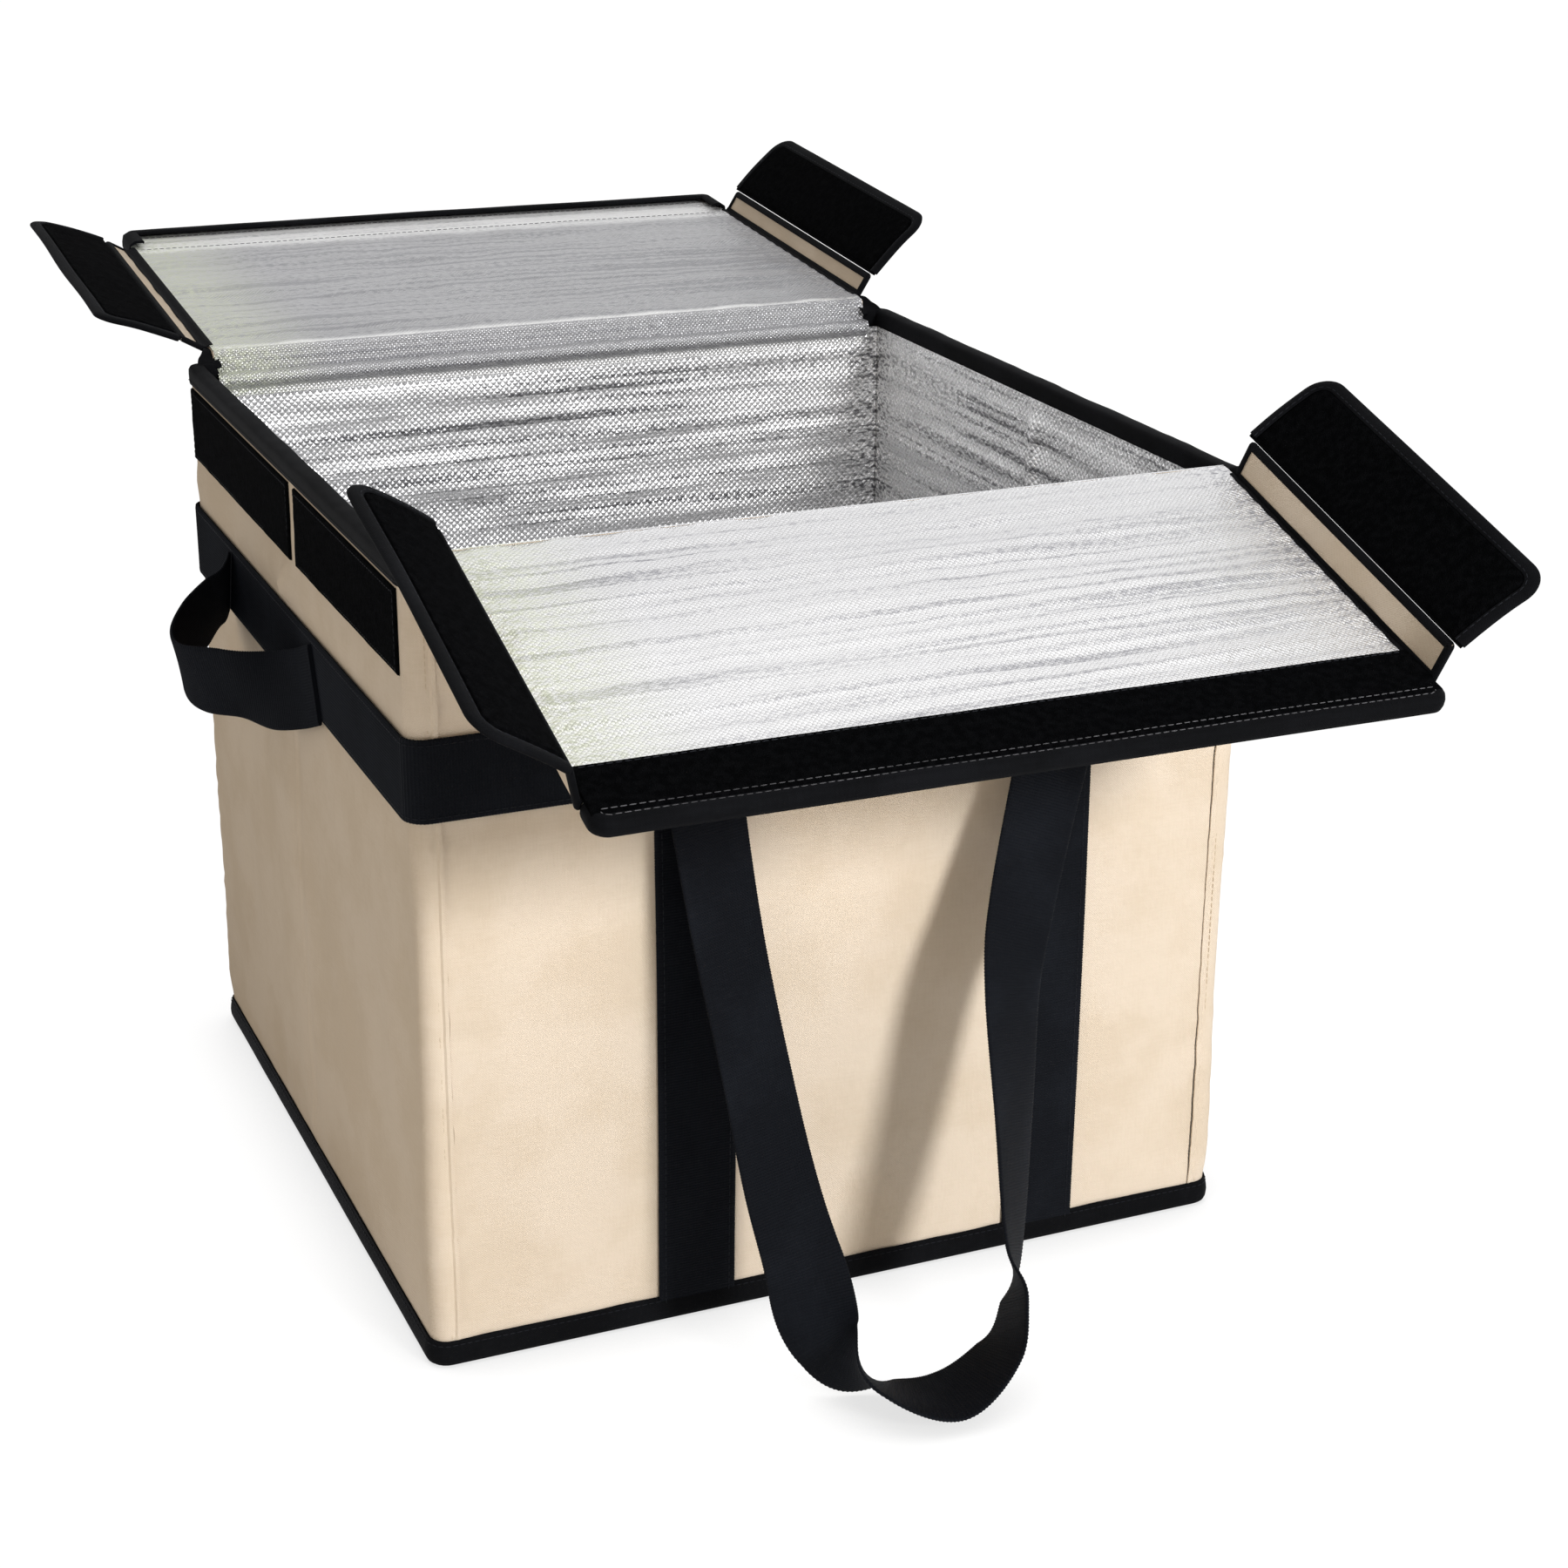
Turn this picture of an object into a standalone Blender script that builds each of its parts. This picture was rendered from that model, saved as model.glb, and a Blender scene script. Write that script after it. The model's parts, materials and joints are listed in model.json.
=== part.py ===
"""Insulated shopping tote: a square, foil-lined carrier with two hinged lids that close with tape,
corner tabs on fold strips, a webbing belt and four carry handles, each sewn piece by itself.

Metres, +Z up. The front wall faces -Y, and the origin is the centre of the base's underside.
A lid is modelled in the frame of its hinge: X along the hinge, Y away from it, Z on the foil side.
"""

import math
from dataclasses import dataclass

import bmesh
import bpy
from mathutils import Vector

# Overall size of the bag, over the outer fabric
BAG_WIDTH = 0.406
BAG_DEPTH = 0.406
BAG_HEIGHT = 0.380
CORNER_RADIUS = 0.008

# Thickness of each sheet, and the clearance that sewn pieces keep to each other
FABRIC = 0.0008
FOAM = 0.0040
FOIL = 0.0006
BINDING = 0.0008
TAPE = 0.0012
WEBBING = 0.0018
BOARD = 0.0020
FLAP_FABRIC = 0.0012
CLEARANCE = 0.0003

# Seams and bindings
FLANGE = 0.0125
SEAM_WIDTH = 0.0020
SEAM_RISE = 0.0005
SEAM_TAPER = 0.0010
CREASE = 0.0030
RIM_BINDING_DROP = 0.0090
BASE_BINDING_RISE = 0.0110
BASE_BINDING_LAP = 0.0070
EDGE_BINDING_LAP = 0.0050

# Webbing on the walls
WEBBING_WIDTH = 0.0380
BELT_BELOW_RIM = 0.0940
BELT_RAMP = 0.0040
LEFT_STRAP_X = -0.0755
RIGHT_STRAP_X = 0.1040
FOLD_ABOVE_BELT = 0.0050
STRAP_BEND_RADIUS = 0.0015

# Loop patches on the side walls
PATCH_WIDTH = 0.0380
PATCH_BELOW_BINDING = 0.0020
PATCH_GAP = 0.0110
PATCH_GAP_Y = -0.0180
PATCH_INSET = 0.0005

# Lids, measured on the foil
FRONT_LID_DEPTH = 0.1900
BACK_LID_DEPTH = 0.2400
FRONT_LID_SIDE_INSET = 0.0175
BACK_LID_SIDE_INSET = 0.0135
FRONT_LID_DROOP = math.radians(16.5)
BACK_LID_RISE = math.radians(4.7)
LID_TAPE_WIDTH = 0.0300

# Fold strips and tabs at the lids' sides
TAB_START = 0.0040
TAB_HOOK_WIDTH = 0.0380
TAB_CORNER_RADIUS = 0.0120
FOLD_MARGIN = 0.0015
STRIP_INSET = 0.0040

# Front and back handles: the height of the hanging loop's lowest point, and how far it reaches out
HANDLE_END_HEIGHT = 0.0085
HANDLE_REACH = 0.1160

# Side handles: where the loop is sewn to the belt, how far it bulges and sags
SIDE_HANDLE_SPAN = 0.1760
SIDE_HANDLE_SHIFT = 0.0300
SIDE_HANDLE_REACH = 0.0420
SIDE_HANDLE_SAG = 0.0160
SIDE_HANDLE_BELOW_BELT = 0.0020

# The front handle's route from its left end to its right: shares of the way between the straps,
# of the reach and of the drop, then the turn of the webbing in degrees
HANDLE_ROUTE_SHARES = (
    (0.000, 0.000, 0.000, 0),
    (0.000, 0.012, 0.030, 0),
    (0.000, 0.034, 0.083, -3),
    (0.011, 0.078, 0.190, -10),
    (0.035, 0.179, 0.360, -15),
    (0.069, 0.290, 0.529, -17),
    (0.105, 0.425, 0.713, -10),
    (0.138, 0.557, 0.837, 3),
    (0.164, 0.709, 0.942, 54),
    (0.261, 0.926, 0.982, 72),
    (0.409, 1.000, 1.000, 88),
    (0.559, 0.956, 0.953, 106),
    (0.628, 0.859, 0.896, 107),
    (0.666, 0.730, 0.820, 128),
    (0.714, 0.550, 0.644, 142),
    (0.755, 0.384, 0.467, 157),
    (0.814, 0.268, 0.360, 168),
    (0.919, 0.129, 0.195, 175),
    (1.000, 0.034, 0.083, 180),
    (1.000, 0.012, 0.030, 180),
    (1.000, 0.000, 0.000, 180),
)

# A side handle's route from front to rear: shares of the span, the reach and the sag, then the tilt
SIDE_ROUTE_SHARES = (
    (0.000, 0.000, 0.000, 0),
    (0.114, 0.085, 0.500, 1),
    (0.224, 0.310, 0.856, -1),
    (0.335, 0.650, 0.900, -16),
    (0.444, 0.974, 1.000, -17),
    (0.592, 0.990, 0.975, -9),
    (0.741, 0.776, 0.744, -2),
    (0.877, 0.379, 0.469, -1),
    (0.949, 0.110, 0.190, 0),
    (1.000, 0.000, 0.000, 0),
)

# Fineness of round shapes
CORNER_STEPS = 5
ROUTE_STEPS = 4
EDGE_STEPS = 4

# Derived places
HALF_WIDTH = BAG_WIDTH / 2
HALF_DEPTH = BAG_DEPTH / 2
FOAM_OUTSIDE = FABRIC + CLEARANCE
FOIL_OUTSIDE = FOAM_OUTSIDE + FOAM + CLEARANCE
WALL = FOIL_OUTSIDE + FOIL
WALL_BOTTOM = BINDING + CLEARANCE
WALL_TOP = BAG_HEIGHT - BINDING - CLEARANCE
BINDING_OUTSIDE = CLEARANCE + BINDING
STRAP_OUTSIDE = CLEARANCE + WEBBING
BELT_LEVEL = SEAM_RISE + CLEARANCE + WEBBING / 2
BELT_OVER_STRAP = STRAP_OUTSIDE + CLEARANCE + WEBBING / 2
HANDLE_FOLD_OUT = BELT_OVER_STRAP + WEBBING / 2 + CLEARANCE + WEBBING / 2
BELT_CENTRE_HEIGHT = BAG_HEIGHT - BELT_BELOW_RIM
HANDLE_FOLD_HEIGHT = BELT_CENTRE_HEIGHT + WEBBING_WIDTH / 2 + FOLD_ABOVE_BELT
HANDLE_DROP = HANDLE_FOLD_HEIGHT - HANDLE_END_HEIGHT
SIDE_HANDLE_OUT = BELT_LEVEL + WEBBING / 2 + CLEARANCE + WEBBING / 2
SIDE_HANDLE_HEIGHT = BELT_CENTRE_HEIGHT - SIDE_HANDLE_BELOW_BELT
SIDE_HINGE_HEIGHT = SIDE_HANDLE_HEIGHT + WEBBING_WIDTH / 2 + CLEARANCE
LID_THICKNESS = FABRIC + CLEARANCE + FOAM + CLEARANCE + FOIL
LID_HINGE_Y = HALF_DEPTH + BINDING_OUTSIDE
LID_HINGE_HEIGHT = BAG_HEIGHT + CLEARANCE + LID_THICKNESS / 2
TAB_HINGE_X = HALF_WIDTH + CLEARANCE + TAPE + CLEARANCE + TAPE + CLEARANCE + FLAP_FABRIC / 2
FOLD_CLEAR = FLAP_FABRIC / 2 + CLEARANCE
TAB_WIDTH = FOLD_MARGIN + TAB_HOOK_WIDTH + CLEARANCE + EDGE_BINDING_LAP


@dataclass
class Lid:
    """One lid: its side of the bag, its size, how it lies at rest and where its tabs end."""

    name: str
    turned: bool
    rest: float
    depth: float
    width: float
    tab_end: float


@dataclass
class Tab:
    """One corner tab: the side of its lid's frame, and the strip's and the tab's angles at rest."""

    name: str
    side: int
    strip_raise: float
    tab_raise: float


FRONT_LID = Lid(
    "front",
    True,
    -FRONT_LID_DROOP,
    FRONT_LID_DEPTH,
    BAG_WIDTH - 2 * FRONT_LID_SIDE_INSET,
    LID_HINGE_Y + PATCH_GAP_Y - PATCH_GAP / 2 - BINDING_OUTSIDE,
)
BACK_LID = Lid(
    "back",
    False,
    BACK_LID_RISE,
    BACK_LID_DEPTH,
    BAG_WIDTH - 2 * BACK_LID_SIDE_INSET,
    LID_HINGE_Y - PATCH_GAP_Y - PATCH_GAP / 2 - BINDING_OUTSIDE,
)
FRONT_TABS = (
    Tab("front_left", 1, math.radians(75), math.radians(38)),
    Tab("front_right", -1, math.radians(75), math.radians(44)),
)
BACK_TABS = (
    Tab("back_right", 1, math.radians(60), math.radians(49)),
    Tab("back_left", -1, math.radians(30), math.radians(24)),
)


# Scene, materials and mesh helpers


def clear_scene():
    for obj in list(bpy.data.objects):
        bpy.data.objects.remove(obj, do_unlink=True)


def make_material(name, colour, roughness, metallic=0.0):
    material = bpy.data.materials.new(name)
    material.use_nodes = True
    shader = material.node_tree.nodes["Principled BSDF"]
    shader.inputs["Base Color"].default_value = (*colour, 1.0)
    shader.inputs["Roughness"].default_value = roughness
    shader.inputs["Metallic"].default_value = metallic
    material.diffuse_color = (*colour, 1.0)
    return material


def make_materials():
    return {
        "fabric": make_material("outer_fabric", (0.80, 0.70, 0.55), 0.75),
        "foam": make_material("foam_sheet", (0.90, 0.90, 0.88), 0.90),
        "foil": make_material("foil_lining", (0.85, 0.86, 0.88), 0.22, 0.9),
        "binding": make_material("edge_binding", (0.012, 0.012, 0.014), 0.60),
        "webbing": make_material("webbing", (0.010, 0.012, 0.018), 0.65),
        "hook": make_material("hook_tape", (0.008, 0.008, 0.009), 0.85),
        "loop": make_material("loop_tape", (0.010, 0.010, 0.011), 0.95),
        "tab": make_material("tab_fabric", (0.012, 0.012, 0.013), 0.80),
        "board": make_material("base_board", (0.12, 0.12, 0.12), 0.70),
    }


def add_empty(name, parent=None, location=(0, 0, 0), rotation=(0, 0, 0)):
    empty = bpy.data.objects.new(name, None)
    bpy.context.scene.collection.objects.link(empty)
    empty.parent = parent
    empty.location = location
    empty.rotation_euler = rotation
    return empty


def add_object(name, shape, material, parent=None):
    """Make a mesh object from a bmesh, with its faces turned outwards."""
    bmesh.ops.recalc_face_normals(shape, faces=shape.faces)
    mesh = bpy.data.meshes.new(name)
    shape.to_mesh(mesh)
    shape.free()
    mesh.materials.append(material)
    obj = bpy.data.objects.new(name, mesh)
    bpy.context.scene.collection.objects.link(obj)
    obj.parent = parent
    return obj


def add_box(name, low, high, material, parent=None):
    """A sheet with square edges between two corners."""
    low, high = Vector(low), Vector(high)
    shape = bmesh.new()
    bmesh.ops.create_cube(shape, size=1)
    bmesh.ops.scale(shape, vec=high - low, verts=shape.verts)
    bmesh.ops.translate(shape, vec=(low + high) / 2, verts=shape.verts)
    return add_object(name, shape, material, parent)


def add_loft(name, rings, material, parent=None, closed=False):
    """Join rings of equal count by side faces; an open loft gets end caps."""
    shape = bmesh.new()
    loops = [[shape.verts.new(point) for point in ring] for ring in rings]
    pairs = list(zip(loops, loops[1:]))
    if closed:
        pairs.append((loops[-1], loops[0]))
    else:
        shape.faces.new(loops[0])
        shape.faces.new(loops[-1])
    for first, second in pairs:
        for i, vertex in enumerate(first):
            j = (i + 1) % len(first)
            shape.faces.new((vertex, first[j], second[j], second[i]))
    return add_object(name, shape, material, parent)


def along_x(outline, low, high):
    """Two rings of a (y, z) outline at the two ends of a run along X."""
    return [[(x, y, z) for y, z in outline] for x in (low, high)]


def along_z(outline, low, high):
    """Two rings of an (x, y) outline at two heights."""
    return [[(x, y, z) for x, y in outline] for z in (low, high)]


def arc(centre, radius, start, end, steps):
    """Points of a circle's arc in a plane, both ends included."""
    angles = [start + (end - start) * i / steps for i in range(steps + 1)]
    return [
        (centre[0] + radius * math.cos(a), centre[1] + radius * math.sin(a)) for a in angles
    ]


def unit(vector):
    length = math.hypot(*vector)
    return tuple(component / length for component in vector)


def thickened(centres, thickness):
    """The outline of a strip of even thickness along a plane path, mitred at its bends."""
    sides = ([], [])
    for i, (x, y) in enumerate(centres):
        before = centres[max(i - 1, 0)]
        after = centres[min(i + 1, len(centres) - 1)]
        into = unit((x - before[0], y - before[1])) if i else None
        out = unit((after[0] - x, after[1] - y)) if i < len(centres) - 1 else None
        into, out = into or out, out or into
        middle = unit((into[0] + out[0], into[1] + out[1]))
        mitre = thickness / 2 / (middle[0] * out[0] + middle[1] * out[1])
        normal = (-middle[1], middle[0])
        sides[0].append((x + normal[0] * mitre, y + normal[1] * mitre))
        sides[1].append((x - normal[0] * mitre, y - normal[1] * mitre))
    return sides[0] + sides[1][::-1]


def rounded_path(half_x, half_y, radius, steps=CORNER_STEPS):
    """A rectangle with round corners, anticlockwise, as (point, outward normal) pairs."""
    path = []
    for quarter in range(4):
        sign_x = 1 if quarter in (0, 3) else -1
        sign_y = 1 if quarter in (0, 1) else -1
        centre = (sign_x * (half_x - radius), sign_y * (half_y - radius))
        start = quarter * math.pi / 2
        for x, y in arc((0, 0), 1, start, start + math.pi / 2, steps):
            path.append(((centre[0] + radius * x, centre[1] + radius * y), (x, y)))
    return path


def swept_ring(profile, half_x, half_y, radius):
    """Rings of an (outward, up) profile carried round a rectangle with round corners."""
    return [
        [(x + nx * out, y + ny * out, up) for out, up in profile]
        for (x, y), (nx, ny) in rounded_path(half_x, half_y, radius)
    ]


def smooth_points(points, steps=ROUTE_STEPS):
    """A curve through all the points, each span a cubic whose ends point along their neighbours."""
    points = [Vector(point) for point in points]
    points = [2 * points[0] - points[1], *points, 2 * points[-1] - points[-2]]
    curve = []
    for before, start, end, after in zip(points, points[1:], points[2:], points[3:]):
        for step in range(steps):
            t = step / steps
            curve.append(
                (
                    2 * start
                    + (end - before) * t
                    + (2 * before - 5 * start + 4 * end - after) * t**2
                    + (3 * start - before - 3 * end + after) * t**3
                )
                / 2
            )
    return curve + [points[-2]]


def level_across(forward, turn):
    """The webbing's width direction on a hanging loop: level, turned from X, and square to the route."""
    across = Vector((math.cos(turn), -math.sin(turn), 0))
    return (across - forward * across.dot(forward)).normalized()


def upright_across(forward, tilt):
    """The webbing's width direction on a side loop: up along the wall, tilted about the route."""
    upright = forward.cross(Vector((1, 0, 0))).normalized()
    return upright * math.cos(tilt) + forward.cross(upright) * math.sin(tilt)


def webbing_rings(route, across_at):
    """Flat webbing along a route of (x, y, z, turn): a thin oblong held square to the route."""
    route = smooth_points(route)
    centres = [point.to_3d() for point in route]
    rings = []
    for i, (centre, point) in enumerate(zip(centres, route)):
        forward = (centres[min(i + 1, len(centres) - 1)] - centres[max(i - 1, 0)]).normalized()
        across = across_at(forward, point[3])
        wide, thick = across * WEBBING_WIDTH / 2, forward.cross(across) * WEBBING / 2
        near, far = centre + wide, centre - wide
        rings.append([near + thick, far + thick, far - thick, near - thick])
    return rings


# Base


def build_base(materials):
    half_x, half_y = HALF_WIDTH - WALL - CLEARANCE, HALF_DEPTH - WALL - CLEARANCE
    panel_inset = BASE_BINDING_LAP + CLEARANCE
    panel = [
        point
        for point, _ in rounded_path(
            HALF_WIDTH - panel_inset, HALF_DEPTH - panel_inset, CORNER_RADIUS - panel_inset
        )
    ]
    add_loft("base_panel", along_z(panel, 0, FABRIC), materials["fabric"])
    height = WALL_BOTTOM
    for name, thickness, material in (
        ("base_board", BOARD, "board"),
        ("base_foam", FOAM, "foam"),
        ("base_liner", FOIL, "foil"),
    ):
        low, high = (-half_x, -half_y, height), (half_x, half_y, height + thickness)
        add_box(name, low, high, materials[material])
        height += thickness + CLEARANCE


def build_base_binding(materials):
    """A bound hem: an outer leg up the walls and a lap under their lower edges."""
    profile = [
        (-BASE_BINDING_LAP, 0),
        (BINDING_OUTSIDE, 0),
        (BINDING_OUTSIDE, BASE_BINDING_RISE),
        (CLEARANCE, BASE_BINDING_RISE),
        (CLEARANCE, BINDING),
        (-BASE_BINDING_LAP, BINDING),
    ]
    rings = swept_ring(profile, HALF_WIDTH, HALF_DEPTH, CORNER_RADIUS)
    add_loft("base_binding", rings, materials["binding"], closed=True)


# Walls


def side_wall_outline(seam_rise):
    """The right wall from above: a sheet that turns both corners and ends in raised seams."""
    seam_x = HALF_WIDTH - FLANGE
    outer = [
        (seam_x, -HALF_DEPTH - seam_rise),
        (seam_x + SEAM_WIDTH, -HALF_DEPTH - seam_rise),
        (seam_x + SEAM_WIDTH + SEAM_RISE, -HALF_DEPTH),
    ]
    corner = (HALF_WIDTH - CORNER_RADIUS, -HALF_DEPTH + CORNER_RADIUS)
    outer += arc(corner, CORNER_RADIUS, -math.pi / 2, 0, CORNER_STEPS)
    inner = arc(corner, CORNER_RADIUS - FABRIC, 0, -math.pi / 2, CORNER_STEPS)
    inner.append((seam_x, -HALF_DEPTH + FABRIC))
    back = [(x, -y) for x, y in outer[::-1] + inner[::-1]]
    return outer + back + inner


def build_side_walls(materials):
    binding_top = BASE_BINDING_RISE + CLEARANCE
    rim_bottom = BAG_HEIGHT - RIM_BINDING_DROP - CLEARANCE
    levels = (
        (WALL_BOTTOM, 0),
        (binding_top, 0),
        (binding_top + SEAM_TAPER, SEAM_RISE),
        (rim_bottom - SEAM_TAPER, SEAM_RISE),
        (rim_bottom, 0),
        (WALL_TOP, 0),
    )
    rings = [[(x, y, z) for x, y in side_wall_outline(rise)] for z, rise in levels]
    add_loft("right_wall", rings, materials["fabric"])
    left = add_loft("left_wall", rings, materials["fabric"])
    left.rotation_euler.z = math.pi


def build_end_walls(materials):
    half = HALF_WIDTH - FLANGE - CLEARANCE
    for name, turn in (("front", 0), ("back", math.pi)):
        low = (-half, -HALF_DEPTH, WALL_BOTTOM)
        high = (half, -HALF_DEPTH + FABRIC, WALL_TOP)
        wall = add_box(f"{name}_wall", low, high, materials["fabric"])
        wall.rotation_euler.z = turn


def build_wall_foams(materials):
    half_x, half_y = HALF_WIDTH - CORNER_RADIUS, HALF_DEPTH - CORNER_RADIUS
    for name, turn in (("front", 0), ("back", math.pi)):
        low = (-half_x, -HALF_DEPTH + FOAM_OUTSIDE, WALL_BOTTOM)
        high = (half_x, -HALF_DEPTH + FOAM_OUTSIDE + FOAM, WALL_TOP)
        foam = add_box(f"{name}_foam", low, high, materials["foam"])
        foam.rotation_euler.z = turn
    for name, turn, near, far in (
        ("right", 0, "front", "rear"),
        ("left", math.pi, "rear", "front"),
    ):
        outside = HALF_WIDTH - FOAM_OUTSIDE
        for end, start, stop in ((near, -half_y, -CREASE / 2), (far, CREASE / 2, half_y)):
            low, high = (outside - FOAM, start, WALL_BOTTOM), (outside, stop, WALL_TOP)
            foam = add_box(f"{name}_{end}_foam", low, high, materials["foam"])
            foam.rotation_euler.z = turn


def build_wall_liners(materials):
    half_x, half_y = HALF_WIDTH - WALL - CLEARANCE, HALF_DEPTH - FOIL_OUTSIDE
    for name, turn in (("front", 0), ("back", math.pi)):
        low = (-half_x, -HALF_DEPTH + FOIL_OUTSIDE, WALL_BOTTOM)
        high = (half_x, -HALF_DEPTH + WALL, WALL_TOP)
        liner = add_box(f"{name}_liner", low, high, materials["foil"])
        liner.rotation_euler.z = turn
    for name, turn in (("right", 0), ("left", math.pi)):
        low = (HALF_WIDTH - WALL, -half_y, WALL_BOTTOM)
        high = (HALF_WIDTH - FOIL_OUTSIDE, half_y, WALL_TOP)
        liner = add_box(f"{name}_liner", low, high, materials["foil"])
        liner.rotation_euler.z = turn


def build_rim_binding(materials):
    """A folded band over the top of all the wall's layers."""
    inside = -WALL - CLEARANCE
    bottom, top = BAG_HEIGHT - RIM_BINDING_DROP, BAG_HEIGHT
    profile = [
        (BINDING_OUTSIDE, bottom),
        (BINDING_OUTSIDE, top),
        (inside - BINDING, top),
        (inside - BINDING, bottom),
        (inside, bottom),
        (inside, top - BINDING),
        (CLEARANCE, top - BINDING),
        (CLEARANCE, bottom),
    ]
    rings = swept_ring(profile, HALF_WIDTH, HALF_DEPTH, CORNER_RADIUS)
    add_loft("rim_binding", rings, materials["binding"], closed=True)


def build_loop_patches(materials):
    """Two loop patches a side, under the rim, with a gap where the tabs of the two lids meet."""
    top = BAG_HEIGHT - RIM_BINDING_DROP - PATCH_BELOW_BINDING
    end = HALF_DEPTH - CORNER_RADIUS - PATCH_INSET
    for side, sign in (("left", -1), ("right", 1)):
        inner, outer = sorted((sign * (HALF_WIDTH + CLEARANCE), sign * (HALF_WIDTH + CLEARANCE + TAPE)))
        for place, start, stop in (
            ("front", -end, PATCH_GAP_Y - PATCH_GAP / 2),
            ("rear", PATCH_GAP_Y + PATCH_GAP / 2, end),
        ):
            low, high = (inner, start, top - PATCH_WIDTH), (outer, stop, top)
            add_box(f"{side}_{place}_loop_patch", low, high, materials["loop"])


# Webbing on the walls


def strap_outline():
    """A front strap from the side: up the wall, then out over the belt to the handle's fold."""
    wall_y = -HALF_DEPTH - CLEARANCE - WEBBING / 2
    bend = (wall_y - STRAP_BEND_RADIUS, HANDLE_FOLD_HEIGHT - STRAP_BEND_RADIUS)
    tip_y = -HALF_DEPTH - HANDLE_FOLD_OUT + WEBBING / 2 + CLEARANCE
    centres = [(wall_y, BASE_BINDING_RISE + CLEARANCE)]
    centres += arc(bend, STRAP_BEND_RADIUS, 0, math.pi / 2, EDGE_STEPS)
    centres.append((tip_y, HANDLE_FOLD_HEIGHT))
    return thickened(centres, WEBBING)


def build_straps(materials):
    outline = strap_outline()
    for x, front, back in (
        (LEFT_STRAP_X, "front_left_strap", "back_right_strap"),
        (RIGHT_STRAP_X, "front_right_strap", "back_left_strap"),
    ):
        rings = along_x(outline, x - WEBBING_WIDTH / 2, x + WEBBING_WIDTH / 2)
        add_loft(front, rings, materials["webbing"])
        add_loft(back, rings, materials["webbing"]).rotation_euler.z = math.pi


def belt_path():
    """The front belt from above, from under the left handle to under the right one.

    It turns both front corners and steps out over each strap.
    """
    side_x, front_y = HALF_WIDTH + BELT_LEVEL, -HALF_DEPTH - BELT_LEVEL
    radius = CORNER_RADIUS + BELT_LEVEL
    corner_x, corner_y = HALF_WIDTH - CORNER_RADIUS, -HALF_DEPTH + CORNER_RADIUS
    over_y = -HALF_DEPTH - BELT_OVER_STRAP
    path = [(-side_x, SIDE_HANDLE_SHIFT - CLEARANCE / 2)]
    path += arc((-corner_x, corner_y), radius, math.pi, math.pi * 3 / 2, CORNER_STEPS)
    for x in (LEFT_STRAP_X, RIGHT_STRAP_X):
        step = WEBBING_WIDTH / 2 + CLEARANCE
        path += [
            (x - step - BELT_RAMP, front_y),
            (x - step, over_y),
            (x + step, over_y),
            (x + step + BELT_RAMP, front_y),
        ]
    path += arc((corner_x, corner_y), radius, -math.pi / 2, 0, CORNER_STEPS)
    path.append((side_x, -SIDE_HANDLE_SHIFT - CLEARANCE / 2))
    return path


def build_belts(materials):
    bottom, top = (BELT_CENTRE_HEIGHT + sign * WEBBING_WIDTH / 2 for sign in (-1, 1))
    rings = along_z(thickened(belt_path(), WEBBING), bottom, top)
    add_loft("front_belt", rings, materials["webbing"])
    add_loft("back_belt", rings, materials["webbing"]).rotation_euler.z = math.pi


# Handles


def rounded_end_rings(ring, outward):
    """Rings that round off a webbing end about its fold, from the tip back to the full end."""
    middle = [(ring[0] + ring[3]) / 2, (ring[1] + ring[2]) / 2]
    middle += middle[::-1]
    rings = []
    for step in range(EDGE_STEPS - 1, 0, -1):
        angle = math.pi / 2 * step / EDGE_STEPS
        reach, share = WEBBING / 2 * math.sin(angle), math.cos(angle)
        rings.append([m + (p - m) * share + outward * reach for p, m in zip(ring, middle)])
    return rings


def main_handle_rings():
    """The front handle: leaves both strap folds, hangs to the floor and turns half over."""
    span = RIGHT_STRAP_X - LEFT_STRAP_X
    route = [
        (
            span * across,
            -HANDLE_REACH * out,
            -HANDLE_DROP * down,
            math.radians(turn),
        )
        for across, out, down, turn in HANDLE_ROUTE_SHARES
    ]
    rings = webbing_rings(route, level_across)
    up = Vector((0, 0, 1))
    return rounded_end_rings(rings[0], up) + rings + rounded_end_rings(rings[-1], up)[::-1]


def build_main_handles(materials):
    rings = main_handle_rings()
    for name, turn, sign in (("front", 0, 1), ("back", math.pi, -1)):
        fold = (sign * LEFT_STRAP_X, -sign * (HALF_DEPTH + HANDLE_FOLD_OUT), HANDLE_FOLD_HEIGHT)
        hinge = add_empty(f"{name}_handle_fold", location=fold, rotation=(0, 0, turn))
        add_loft(f"{name}_handle", rings, materials["webbing"], hinge)


def side_handle_rings():
    """A side handle on the right: sewn flat on the belt at both ends, bulging between them."""
    route = [
        (
            SIDE_HANDLE_REACH * out,
            SIDE_HANDLE_SPAN * (1 / 2 - along),
            SIDE_HANDLE_HEIGHT - SIDE_HINGE_HEIGHT - SIDE_HANDLE_SAG * sag,
            math.radians(tilt),
        )
        for along, out, sag, tilt in SIDE_ROUTE_SHARES
    ]
    return webbing_rings(route, upright_across)


def build_side_handles(materials):
    rings = side_handle_rings()
    for name, turn, sign in (("right", 0, 1), ("left", math.pi, -1)):
        place = (sign * (HALF_WIDTH + SIDE_HANDLE_OUT), -sign * SIDE_HANDLE_SHIFT, SIDE_HINGE_HEIGHT)
        hinge = add_empty(f"{name}_handle_hinge", location=place, rotation=(0, 0, turn))
        add_loft(f"{name}_handle", rings, materials["webbing"], hinge)


# Lids


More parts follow.
